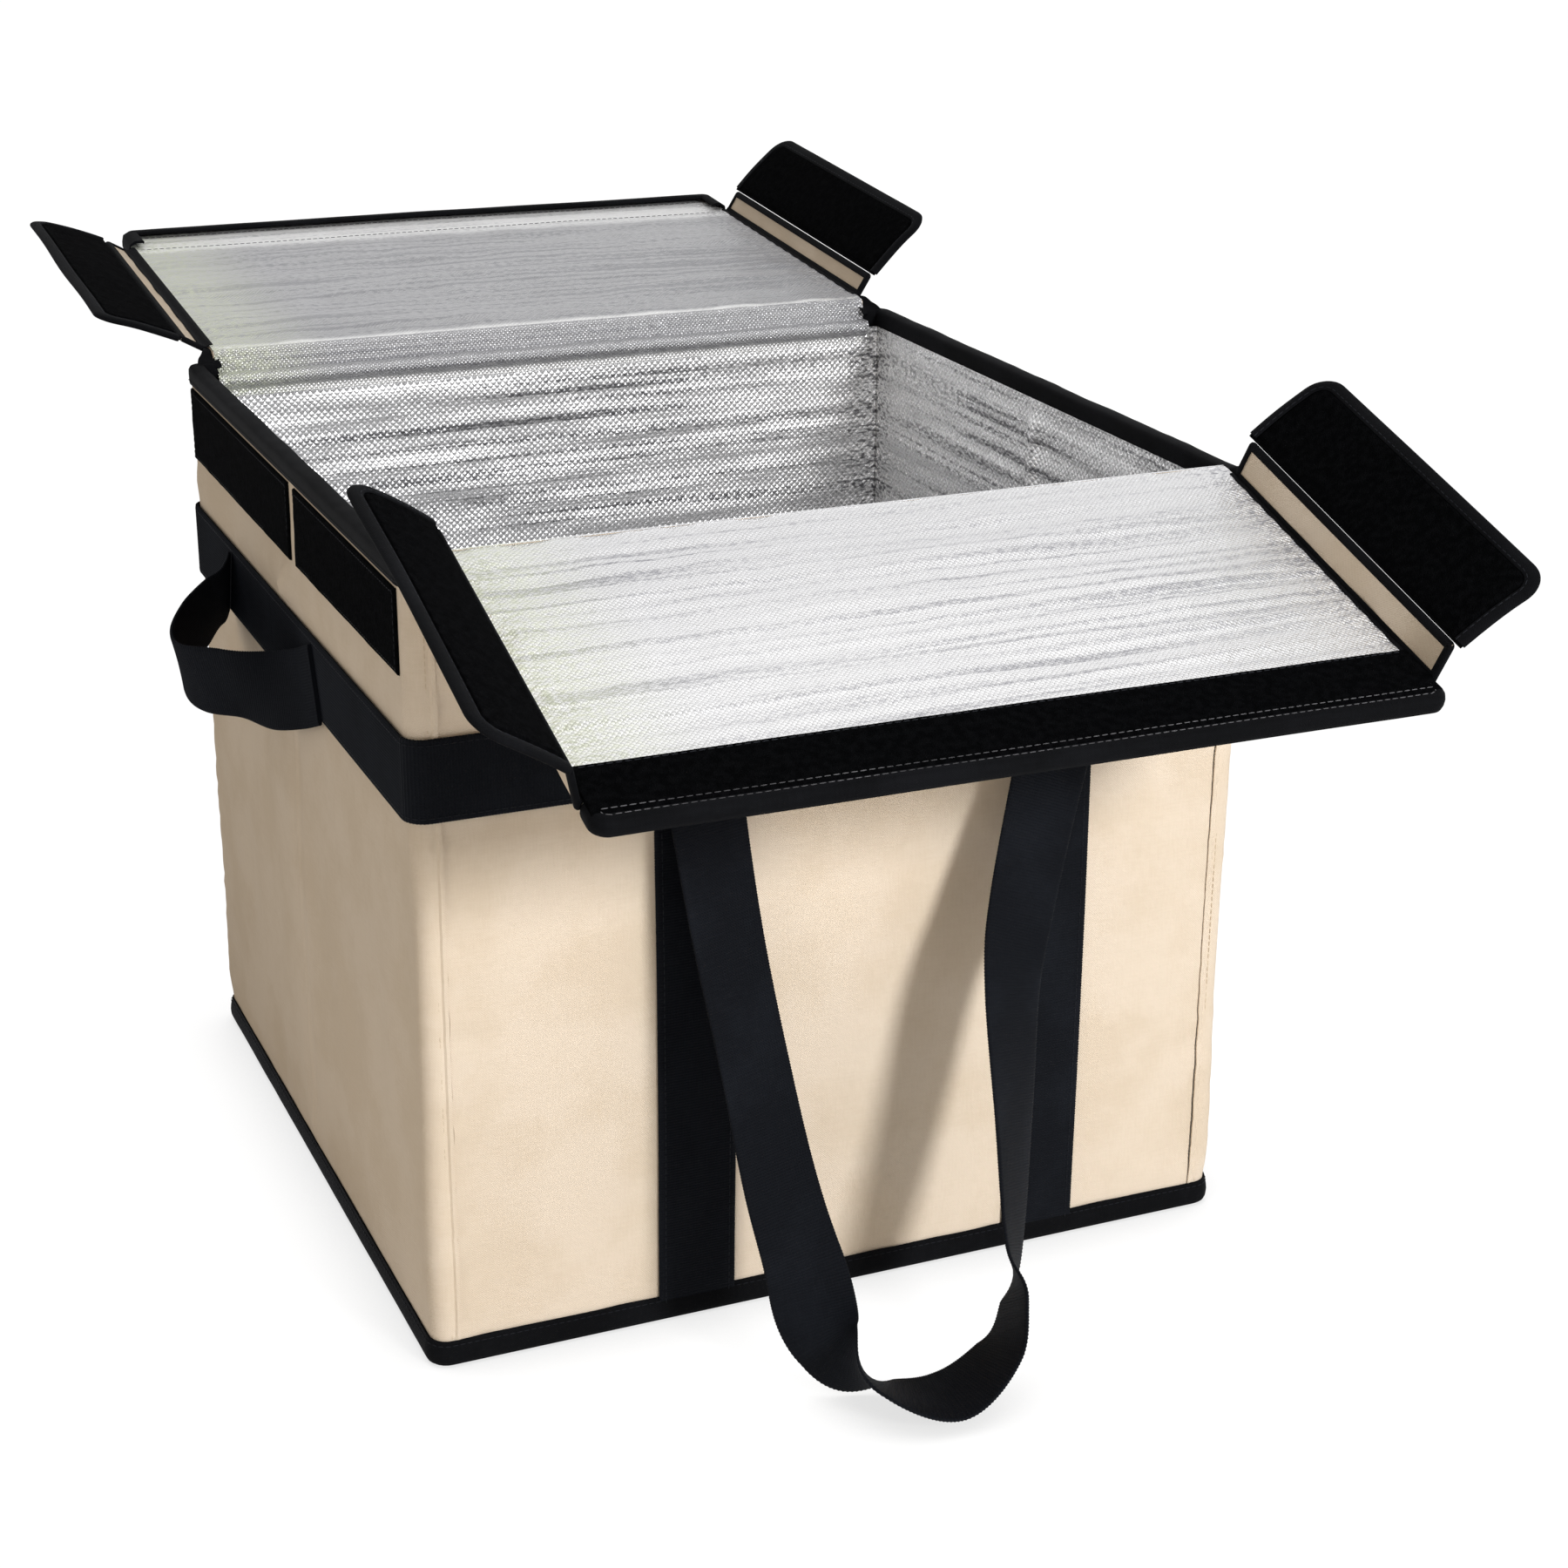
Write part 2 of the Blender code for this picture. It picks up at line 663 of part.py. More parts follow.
def lid_shell_outline(lid):
    """The outer fabric from the side: flat under the lid, and rolled about the hinge."""
    radius = LID_THICKNESS / 2
    outline = [(lid.depth, -radius)]
    outline += arc((0, 0), radius, -math.pi / 2, -math.pi * 3 / 2, 2 * EDGE_STEPS)
    outline += arc((0, 0), radius - FABRIC, -math.pi * 3 / 2, -math.pi / 2, 2 * EDGE_STEPS)
    outline.append((lid.depth, FABRIC - radius))
    return outline


def edge_binding_profile(half_thickness):
    """A folded edge band as (outward, side) points, measured from the edge that it covers."""
    near, far = half_thickness + CLEARANCE, half_thickness + BINDING_OUTSIDE
    return [
        (-EDGE_BINDING_LAP, far),
        (BINDING_OUTSIDE, far),
        (BINDING_OUTSIDE, -far),
        (-EDGE_BINDING_LAP, -far),
        (-EDGE_BINDING_LAP, -near),
        (CLEARANCE, -near),
        (CLEARANCE, near),
        (-EDGE_BINDING_LAP, near),
    ]


def build_lid(lid, materials):
    """A lid on its hinge, and the hinge's empty, which the fold strips hang on."""
    sign = -1 if lid.turned else 1
    hinge = add_empty(
        f"{lid.name}_lid_hinge",
        location=(0, sign * LID_HINGE_Y, LID_HINGE_HEIGHT),
        rotation=(lid.rest, 0, math.pi if lid.turned else 0),
    )
    half, radius = lid.width / 2, LID_THICKNESS / 2
    name = f"{lid.name}_lid"
    add_loft(f"{name}_shell", along_x(lid_shell_outline(lid), -half, half), materials["fabric"], hinge)
    foam_bottom = FABRIC + CLEARANCE - radius
    low, high = (-half, FOIL, foam_bottom), (half, lid.depth, foam_bottom + FOAM)
    add_box(f"{name}_foam", low, high, materials["foam"], hinge)
    low, high = (-half, CLEARANCE, radius - FOIL), (half, lid.depth, radius)
    add_box(f"{name}_liner", low, high, materials["foil"], hinge)
    profile = [(lid.depth + out, side) for out, side in edge_binding_profile(radius)]
    add_loft(f"{name}_binding", along_x(profile, -half, half), materials["binding"], hinge)
    build_lid_tape(lid, hinge, materials)
    return hinge


def build_lid_tape(lid, hinge, materials):
    """Hook tape on the front lid's foil side; loop tape on the back lid's outer side."""
    half, radius = lid.width / 2, LID_THICKNESS / 2
    edge = lid.depth - EDGE_BINDING_LAP - CLEARANCE
    if lid.turned:
        name, material, bottom = "front_lid_hook_strip", "hook", radius + CLEARANCE
    else:
        name, material, bottom = "back_lid_loop_strip", "loop", -radius - CLEARANCE - TAPE
    low, high = (-half, edge - LID_TAPE_WIDTH, bottom), (half, edge, bottom + TAPE)
    add_box(name, low, high, materials[material], hinge)


# Fold strips and tabs


def rounded_flap_outline(side, width):
    """A flap across its fold: round about the fold axis, square at its far end."""
    radius = FLAP_FABRIC / 2
    outline = arc((0, 0), radius, math.pi / 2, math.pi * 3 / 2, EDGE_STEPS)
    outline += [(width, -radius), (width, radius)]
    return [(side * x, z) for x, z in outline]


def build_fold_strip(lid, tab, lid_hinge, materials):
    """The strip between a lid's side edge and its tab, which reaches across the rim when closed."""
    fold_x = lid.width / 2 + FOLD_CLEAR
    length = TAB_HINGE_X - fold_x
    hinge = add_empty(
        f"{tab.name}_strip_fold",
        lid_hinge,
        (tab.side * fold_x, 0, 0),
        (0, -tab.side * tab.strip_raise, 0),
    )
    outline = rounded_flap_outline(tab.side, length - FOLD_CLEAR)
    ends = (TAB_START + STRIP_INSET, lid.tab_end - STRIP_INSET)
    rings = [[(x, y, z) for x, z in outline] for y in ends]
    add_loft(f"{tab.name}_fold_strip", rings, materials["fabric"], hinge)
    return add_empty(
        f"{tab.name}_tab_fold",
        hinge,
        (tab.side * length, 0, 0),
        (0, tab.side * (tab.strip_raise - tab.tab_raise), 0),
    )


def build_tab_panel(lid, tab, hinge, materials):
    """The tab's fabric, with round outer corners, as sections along the fold."""
    stations = []
    for x, y in arc((0, 0), TAB_CORNER_RADIUS, math.pi, math.pi / 2, CORNER_STEPS):
        stations.append((TAB_START + TAB_CORNER_RADIUS + x, TAB_WIDTH - TAB_CORNER_RADIUS + y))
    middle = TAB_START + lid.tab_end
    stations += [(middle - along, width) for along, width in stations[::-1]]
    rings = [
        [(x, along, z) for x, z in rounded_flap_outline(tab.side, width)]
        for along, width in stations
    ]
    add_loft(f"{tab.name}_tab_panel", rings, materials["tab"], hinge)


def build_tab_binding(lid, tab, hinge, materials):
    """The band round the tab's three free edges."""
    inner, outer = FOLD_MARGIN, TAB_WIDTH - TAB_CORNER_RADIUS
    near, far = TAB_START + TAB_CORNER_RADIUS, lid.tab_end - TAB_CORNER_RADIUS
    path = [((inner, TAB_START), (0, -1))]
    for centre, start in (((outer, near), -math.pi / 2), ((outer, far), 0)):
        for x, y in arc((0, 0), 1, start, start + math.pi / 2, CORNER_STEPS):
            point = (centre[0] + TAB_CORNER_RADIUS * x, centre[1] + TAB_CORNER_RADIUS * y)
            path.append((point, (x, y)))
    path.append(((inner, lid.tab_end), (0, 1)))
    profile = edge_binding_profile(FLAP_FABRIC / 2)
    rings = [
        [(tab.side * (x + nx * out), y + ny * out, side) for out, side in profile]
        for (x, y), (nx, ny) in path
    ]
    add_loft(f"{tab.name}_tab_binding", rings, materials["binding"], hinge)


def build_tab_hook(lid, tab, hinge, materials):
    """Hook tape on the tab's inner face, with round outer corners, framed by the binding."""
    bottom = FLAP_FABRIC / 2 + CLEARANCE
    inset = EDGE_BINDING_LAP + CLEARANCE
    radius = TAB_CORNER_RADIUS - inset
    near, far = TAB_START + inset, lid.tab_end - inset
    outer = FOLD_MARGIN + TAB_HOOK_WIDTH
    outline = [(FOLD_MARGIN, near)]
    outline += arc((outer - radius, near + radius), radius, -math.pi / 2, 0, CORNER_STEPS)
    outline += arc((outer - radius, far - radius), radius, 0, math.pi / 2, CORNER_STEPS)
    outline.append((FOLD_MARGIN, far))
    outline = [(tab.side * x, y) for x, y in outline]
    name = f"{tab.name}_tab_hook_patch"
    add_loft(name, along_z(outline, bottom, bottom + TAPE), materials["hook"], hinge)


def build_lid_with_tabs(lid, tabs, materials):
    lid_hinge = build_lid(lid, materials)
    for tab in tabs:
        tab_hinge = build_fold_strip(lid, tab, lid_hinge, materials)
        build_tab_panel(lid, tab, tab_hinge, materials)
        build_tab_binding(lid, tab, tab_hinge, materials)
        build_tab_hook(lid, tab, tab_hinge, materials)


def main():
    clear_scene()
    materials = make_materials()
    build_base(materials)
    build_base_binding(materials)
    build_side_walls(materials)
    build_end_walls(materials)
    build_wall_foams(materials)
    build_wall_liners(materials)
    build_rim_binding(materials)
    build_loop_patches(materials)
    build_straps(materials)
    build_belts(materials)
    build_main_handles(materials)
    build_side_handles(materials)
    build_lid_with_tabs(FRONT_LID, FRONT_TABS, materials)
    build_lid_with_tabs(BACK_LID, BACK_TABS, materials)


main()
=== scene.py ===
"""Looks of a square insulated shopping tote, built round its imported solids.

Metres, +Z up, the front wall at -Y. Each piece is a surface worked out with numpy on a grid or along a path,
bent by the same soft shape as its neighbours, and it replaces the plain solids that it stands for.
"""

from __future__ import annotations

import json
import logging
import math
from dataclasses import dataclass, field
from enum import Enum
from typing import Any, Callable, Sequence

import bpy
import numpy as np
from mathutils import Matrix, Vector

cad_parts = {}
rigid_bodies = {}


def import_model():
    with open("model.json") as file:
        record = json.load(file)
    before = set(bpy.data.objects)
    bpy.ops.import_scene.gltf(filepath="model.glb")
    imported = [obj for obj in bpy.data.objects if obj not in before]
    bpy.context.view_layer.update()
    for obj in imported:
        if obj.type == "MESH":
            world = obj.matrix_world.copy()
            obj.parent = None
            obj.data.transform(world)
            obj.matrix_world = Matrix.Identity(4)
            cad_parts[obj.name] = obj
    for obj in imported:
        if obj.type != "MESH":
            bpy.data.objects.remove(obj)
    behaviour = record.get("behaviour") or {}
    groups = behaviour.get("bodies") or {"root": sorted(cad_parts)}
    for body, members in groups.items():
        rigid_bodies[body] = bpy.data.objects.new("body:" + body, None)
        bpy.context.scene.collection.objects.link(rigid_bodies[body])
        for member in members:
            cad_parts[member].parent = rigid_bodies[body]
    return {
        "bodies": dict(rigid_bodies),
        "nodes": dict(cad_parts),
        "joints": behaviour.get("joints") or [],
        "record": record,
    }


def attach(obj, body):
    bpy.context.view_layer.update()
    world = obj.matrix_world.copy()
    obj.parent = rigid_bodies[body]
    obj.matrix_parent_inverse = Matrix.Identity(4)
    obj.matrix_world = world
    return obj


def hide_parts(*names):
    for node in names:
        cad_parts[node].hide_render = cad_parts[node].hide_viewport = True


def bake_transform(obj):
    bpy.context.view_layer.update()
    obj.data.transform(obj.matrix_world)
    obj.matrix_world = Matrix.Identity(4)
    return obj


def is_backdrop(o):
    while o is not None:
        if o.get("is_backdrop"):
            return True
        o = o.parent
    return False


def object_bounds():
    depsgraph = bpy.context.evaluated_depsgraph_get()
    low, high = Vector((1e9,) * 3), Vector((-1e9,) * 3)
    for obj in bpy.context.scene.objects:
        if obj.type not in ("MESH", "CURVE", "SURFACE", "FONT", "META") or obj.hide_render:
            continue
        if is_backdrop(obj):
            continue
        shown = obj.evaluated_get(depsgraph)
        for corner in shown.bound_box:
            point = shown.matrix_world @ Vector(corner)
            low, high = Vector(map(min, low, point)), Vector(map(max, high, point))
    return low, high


Array = np.ndarray
Warp = Callable[[Array], Array]
log = logging.getLogger("tote")

MM = 0.001
RIGHT, REAR, UP = np.eye(3)

# Stitches, each as its pitch, its length and half its thread's thickness
SEAM_STITCH = (0.0034, 0.0026, 0.22 * MM)
TAPE_STITCH = (0.0034, 0.0025, 0.20 * MM)
BELT_STITCH = (0.0036, 0.0028, 0.22 * MM)
BOX_STITCH = (0.0034, 0.0027, 0.22 * MM)
LID_STITCH = (0.0037, 0.0027, 0.23 * MM)
TAB_STITCH = (0.0036, 0.0026, 0.21 * MM)

for item in list(bpy.data.objects):
    bpy.data.objects.remove(item)
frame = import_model()


# Vectors and soft steps


def unit(vectors: Array) -> Array:
    """Vectors of length one, along the last axis."""
    return vectors / np.maximum(np.linalg.norm(vectors, axis=-1, keepdims=True), 1e-12)


def smooth_step(low: float, high: float, values: Array) -> Array:
    """Rises from 0 at low to 1 at high as 3t^2 - 2t^3."""
    share = np.clip((np.asarray(values, float) - low) / (high - low), 0.0, 1.0)
    return share * share * (3.0 - 2.0 * share)


def plateau(values: Array, low: float, high: float, soft: float) -> Array:
    """1 between low and high, and a soft fall to 0 over soft outside them."""
    return smooth_step(low - soft, low, values) * (1.0 - smooth_step(high, high + soft, values))


def bump(values: Array, centre: float, reach: float) -> Array:
    """A bell of height 1 about centre: the exponential of minus the squared distance in reaches."""
    return np.exp(-(((np.asarray(values, float) - centre) / reach) ** 2))


@dataclass(frozen=True)
class Ripples:
    """An irregular soft field: the sum of sine waves of seeded direction, length and phase.

    Long waves are higher than short ones, and slant turns most of them towards one direction.
    """

    seed: int
    height: float
    longest: float
    shortest: float
    waves: int = 16
    turn: float = 0.0
    spread: float = math.pi

    def at(self, across: Array, along: Array) -> Array:
        """The field's height at each point.

        Args:
            across: first coordinate, in metres.
            along: second coordinate, in metres.

        Returns:
            Heights in metres, within about the ripples' own height.
        """
        draw = np.random.default_rng(self.seed)
        lengths = np.exp(draw.uniform(math.log(self.shortest), math.log(self.longest), self.waves))
        angles = self.turn + draw.uniform(-0.5, 0.5, self.waves) * self.spread
        phases = draw.uniform(0.0, 2.0 * math.pi, self.waves)
        weights = lengths / math.sqrt(float((lengths**2).sum()))
        total = np.zeros(np.broadcast(across, along).shape)
        for length, angle, phase, weight in zip(lengths, angles, phases, weights):
            distance = across * math.cos(angle) + along * math.sin(angle)
            total += weight * np.sin(2.0 * math.pi * distance / length + phase)
        return self.height * total


# Meshes


@dataclass
class Shape:
    """A mesh in the making: points, faces of three or more corners, and a flat place for each point."""

    points: Array
    faces: list[Array]
    flat: Array

    def warped(self, warp: Warp) -> "Shape":
        """The same shape with every point moved by the warp, faces outwards."""
        return outward(Shape(warp(self.points), list(self.faces), self.flat))


def joined(shapes: Sequence[Shape]) -> Shape:
    """Several shapes as one."""
    starts = np.cumsum([0] + [len(shape.points) for shape in shapes])
    faces = [face + start for shape, start in zip(shapes, starts) for face in shape.faces]
    points = np.concatenate([shape.points for shape in shapes])
    return Shape(points, faces, np.concatenate([shape.flat for shape in shapes]))


def lattice(rows: int, columns: int, first: int = 0, rings: bool = False, loops: bool = False) -> Array:
    """Quads between the points of a grid that is stored row by row.

    Args:
        rows: number of rows.
        columns: number of points in a row.
        first: index of the grid's first point.
        rings: whether the last row joins the first.
        loops: whether each row closes on itself.

    Returns:
        One row of four point indices for each quad.
    """
    i = np.arange(rows if rings else rows - 1)[:, None]
    j = np.arange(columns if loops else columns - 1)[None, :]
    below, beside = (i + 1) % rows, (j + 1) % columns
    corners = (i * columns + j, i * columns + beside, below * columns + beside, below * columns + j)
    return first + np.stack(np.broadcast_arrays(*corners), axis=-1).reshape(-1, 4)


def grid_normals(grid: Array) -> Array:
    """Unit normals of a grid of points: the cross product of its two differences."""
    return unit(np.cross(np.gradient(grid, axis=1), np.gradient(grid, axis=0)))


def outward(shape: Shape) -> Shape:
    """The shape with its faces turned outwards, told by the sign of the volume that they close."""
    volume = 0.0
    for face in shape.faces:
        a, b, c, d = (shape.points[face[:, k]] for k in (0, 1, 2, -1))
        volume += float((a * np.cross(b, c)).sum())
        if face.shape[1] > 3:
            volume += float((a * np.cross(c, d)).sum())
    if volume < 0.0:
        shape.faces = [face[:, ::-1] for face in shape.faces]
    return shape


def sheet(face: Array, flat: Array, thickness: float | Array, facing: Sequence[float]) -> Shape:
    """A closed sheet: a grid, the same grid set back along its normals, and a wall round their edges.

    Args:
        face: rows and columns of points, the sheet's outer face.
        flat: the flat place of each point, in metres.
        thickness: how far the back lies behind, one number or one for each point.
        facing: roughly the way that the outer face looks.

    Returns:
        The closed shape.
    """
    rows, columns = face.shape[:2]
    depth = np.broadcast_to(np.asarray(thickness, float), (rows, columns))[..., None]
    normals = grid_normals(face)
    normals = normals if (normals @ np.asarray(facing, float)).mean() > 0.0 else -normals
    back = face - normals * depth
    count = rows * columns
    edge = np.concatenate(
        [
            np.arange(columns),
            np.arange(1, rows) * columns + columns - 1,
            (rows - 1) * columns + np.arange(columns - 2, -1, -1),
            np.arange(rows - 2, 0, -1) * columns,
        ]
    )
    following = np.roll(edge, -1)
    wall = np.stack([following, edge, edge + count, following + count], axis=-1)
    faces = [lattice(rows, columns), lattice(rows, columns, count)[:, ::-1], wall]
    points = np.concatenate([face.reshape(-1, 3), back.reshape(-1, 3)])
    return outward(Shape(points, faces, np.tile(flat.reshape(-1, 2), (2, 1))))


def swept(centres: Array, side: Array, up: Array, profile: Array, ring: bool = False) -> Shape:
    """A profile carried along a path: each point is its centre plus side and up times the profile.

    Args:
        centres: the path's points.
        side: the profile's first direction at each point.
        up: the profile's second direction at each point.
        profile: (side, up) pairs, or such a list for each point of the path, as an outer chain and
            then an inner chain of as many points backwards.
        ring: whether the path closes on itself.

    Returns:
        A closed tube, with its ends capped unless it is a ring.
    """
    profile = np.broadcast_to(profile, (len(centres), *profile.shape[-2:]))
    points = centres[:, None] + side[:, None] * profile[..., :1] + up[:, None] * profile[..., 1:]
    rows, columns = points.shape[:2]
    around = np.concatenate([[0.0], np.cumsum(np.linalg.norm(np.diff(profile[0], axis=0), axis=1))])
    run = np.concatenate([[0.0], np.cumsum(np.linalg.norm(np.diff(centres, axis=0), axis=1))])
    flat = np.stack(np.broadcast_arrays(around[None, :], run[:, None]), axis=-1)
    faces = [lattice(rows, columns, rings=ring, loops=True)]
    if not ring:
        i = np.arange(columns // 2 - 1)
        cap = np.stack([i, i + 1, columns - 2 - i, columns - 1 - i], axis=-1)
        faces += [cap[:, ::-1], cap + (rows - 1) * columns]
    return outward(Shape(points.reshape(-1, 3), faces, flat.reshape(-1, 2)))


def folded_band(chain: Array, thickness: float) -> Array:
    """A band's section: a chain of points offset to both sides along its normals by half the thickness."""
    step = unit(np.gradient(chain, axis=0))
    normal = np.stack([-step[:, 1], step[:, 0]], axis=-1) * thickness / 2.0
    return np.concatenate([chain + normal, (chain - normal)[::-1]])


def resampled(points: Array, pitch: float, closed: bool = False) -> Array:
    """The same path with even steps of about pitch, found by interpolating on its running length."""
    path = np.concatenate([points, points[:1]]) if closed else points
    run = np.concatenate([[0.0], np.cumsum(np.linalg.norm(np.diff(path[:, :3], axis=0), axis=1))])
    count = max(2, int(round(run[-1] / pitch)) + 1)
    places = np.linspace(0.0, run[-1], count)[: -1 if closed else None]
    return np.stack([np.interp(places, run, column) for column in path.T], axis=-1)


def graded(
    low: float, high: float, marks: Sequence[float], fine: float, coarse: float, reach: float
) -> Array:
    """Places from low to high, fine near the marks and coarse elsewhere, as shares of a summed density."""
    fineness = np.linspace(low, high, 4001)
    near = np.max([bump(fineness, mark, reach) for mark in marks], axis=0)
    density = 1.0 / coarse + (1.0 / fine - 1.0 / coarse) * near
    total = np.concatenate([[0.0], np.cumsum((density[1:] + density[:-1]) / 2.0 * np.diff(fineness))])
    return np.interp(np.linspace(0.0, total[-1], int(math.ceil(total[-1])) + 1), total, fineness)


def smooth_route(points: Array, per_span: int = 40) -> Array:
    """A curve through all the points, each span a cubic whose ends point along their neighbours."""
    ends = np.concatenate([[2 * points[0] - points[1]], points, [2 * points[-1] - points[-2]]])
    before, start, end, after = (ends[k : len(ends) - 3 + k][:, None] for k in range(4))
    t = (np.arange(per_span) / per_span)[None, :, None]
    curve = (
        2 * start
        + (end - before) * t
        + (2 * before - 5 * start + 4 * end - after) * t**2
        + (3 * start - before - 3 * end + after) * t**3
    ) / 2
    return np.concatenate([curve.reshape(-1, points.shape[1]), points[-1:]])


def thread(path: Array, facing: Array, pitch: float, length: float, radius: float) -> Shape:
    """A row of stitches: small capsules laid along a path, sunk by a third of their radius.

    Args:
        path: points along the seam, close together.
        facing: outward direction at each point of the path.
        pitch: distance from one stitch to the next.
        length: length of one stitch.
        radius: half the thread's thickness.

    Returns:
        All the stitches as one shape.
    """
    laid = resampled(np.concatenate([path, facing], axis=1), pitch)
    centres, up = laid[:, :3], unit(laid[:, 3:])
    ahead = unit(np.gradient(centres, axis=0))
    side = unit(np.cross(up, ahead))
    stations = np.array([-0.5, -0.36, 0.0, 0.36, 0.5]) * length
    widths = np.array([0.3, 0.85, 1.0, 0.85, 0.3]) * radius
    angles = np.arange(6) * math.pi / 3.0
    points = (
        (centres + up * radius / 3.0)[:, None, None]
        + ahead[:, None, None] * stations[None, :, None, None]
        + side[:, None, None] * (widths[:, None] * np.cos(angles))[None, :, :, None]
        + up[:, None, None] * (widths[:, None] * np.sin(angles))[None, :, :, None]
    )
    count = len(centres)
    starts = (np.arange(count) * 30)[:, None, None]
    quads = (starts + lattice(5, 6, loops=True)[None]).reshape(-1, 4)
    ring = np.arange(6)
    caps = [(starts[:, 0] + ring[None]), (starts[:, 0] + 24 + ring[None])[:, ::-1]]
    shape = Shape(points.reshape(-1, 3), [quads[:, ::-1], *caps], np.zeros((count * 30, 2)))
    return outward(shape)


def thread_on(warp: Warp, line: Array, lift: float, stitch: Sequence[float]) -> Shape:
    """Stitches on a warped face, which looks the way that the line goes when it is lifted."""
    laid = warp(line)
    return thread(laid, unit(warp(line + UP * lift) - laid), *stitch)


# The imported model


@dataclass(frozen=True)
class Bend:
    """How a piece crosses a joint: the two bodies, and where it leaves the first and joins the second."""

    near: str
    far: str
    start: tuple[float, float, float]
    end: tuple[float, float, float]


@dataclass(frozen=True)
class Place:
    """A flat part's own axes: across it, along it, and out of its foil side."""

    origin: Array
    across: Array
    along: Array
    facing: Array

    def world(self, points: Array) -> Array:
        """Points given as (across, along, facing) in the model's frame."""
        return self.origin + points @ np.stack([self.across, self.along, self.facing])

    def local(self, points: Array) -> Array:
        """Points of the model's frame as (across, along, facing)."""
        return (points - self.origin) @ np.stack([self.across, self.along, self.facing], axis=-1)


def axes(*rows: Sequence[float]) -> Place:
    """A place from its origin and its three directions, as plain numbers."""
    return Place(*(np.array(row, float) for row in rows))


class Model:
    """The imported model's nodes and joints by name."""

    def __init__(self, frame: dict[str, Any]) -> None:
        self.frame = frame

    def points(self, node: str) -> Array:
        """A node's points at rest."""
        vertices = self.frame["nodes"][node].data.vertices
        flat = np.zeros(len(vertices) * 3)
        vertices.foreach_get("co", flat)
        return flat.reshape(-1, 3)

    def span(self, node: str, place: Place | None = None) -> tuple[Array, Array]:
        """A node's lowest and highest corners, in the model's frame or in a place's axes."""
        points = self.points(node)
        points = place.local(points) if place else points
        return points.min(0), points.max(0)

    def joint(self, name: str) -> dict[str, Any]:
        """A joint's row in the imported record."""
        return next(row for row in self.frame["joints"] if row["name"] == name)

    def hinge(self, name: str) -> tuple[Array, Array]:
        """A hinge's place and its unit axis."""
        row = self.joint(name)
        return np.array(row["pos_m"], float), unit(np.array(row["axis"], float))


class Slot(Enum):
    """The record's material slots."""

    FABRIC = "outer_fabric"
    FOAM = "foam_sheet"
    FOIL = "foil_lining"
    BINDING = "edge_binding"
    WEBBING = "webbing"
    HOOK = "hook_tape"
    LOOP = "loop_tape"
    TAB = "tab_fabric"
    BOARD = "base_board"


@dataclass(frozen=True)
class Stock:
    """What a piece is cut from: its material, its slot and the angle above which its edges stay sharp."""

    material: bpy.types.Material
    slot: Slot | None = None
    crease: float = 38.0


def make_piece(
    name: str, shape: Shape, stock: Stock, rides: str | Bend, replaces: Sequence[str] = ()
) -> bpy.types.Object:
    """Puts a shape into the scene as a piece.

    Args:
        name: the piece's name.
        shape: its mesh, in the model's frame.
        stock: what it is cut from.
        rides: the body it moves with; for a Bend the piece's place is only baked in and it rides no body.
        replaces: the nodes it stands for.

    Returns:
        The new object.
    """
    mesh = bpy.data.meshes.new(name)
    mesh.from_pydata(shape.points.tolist(), [], [row for face in shape.faces for row in face.tolist()])
    layer = mesh.uv_layers.new(name="flat")
    corners = np.zeros(len(mesh.loops), dtype=np.int64)
    mesh.loops.foreach_get("vertex_index", corners)
    layer.data.foreach_set("uv", shape.flat[corners].astype(np.float32).ravel())
    mesh.shade_smooth()
    mesh.set_sharp_from_angle(angle=math.radians(stock.crease))
    mesh.materials.append(stock.material)
    piece = bpy.data.objects.new(name, mesh)
    bpy.context.scene.collection.objects.link(piece)
    if isinstance(rides, Bend):
        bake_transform(piece)
    else:
        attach(piece, rides)
    if replaces:
        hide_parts(*replaces)
    log.info("%s: %d faces", name, len(mesh.polygons))
    return piece


# Finishes


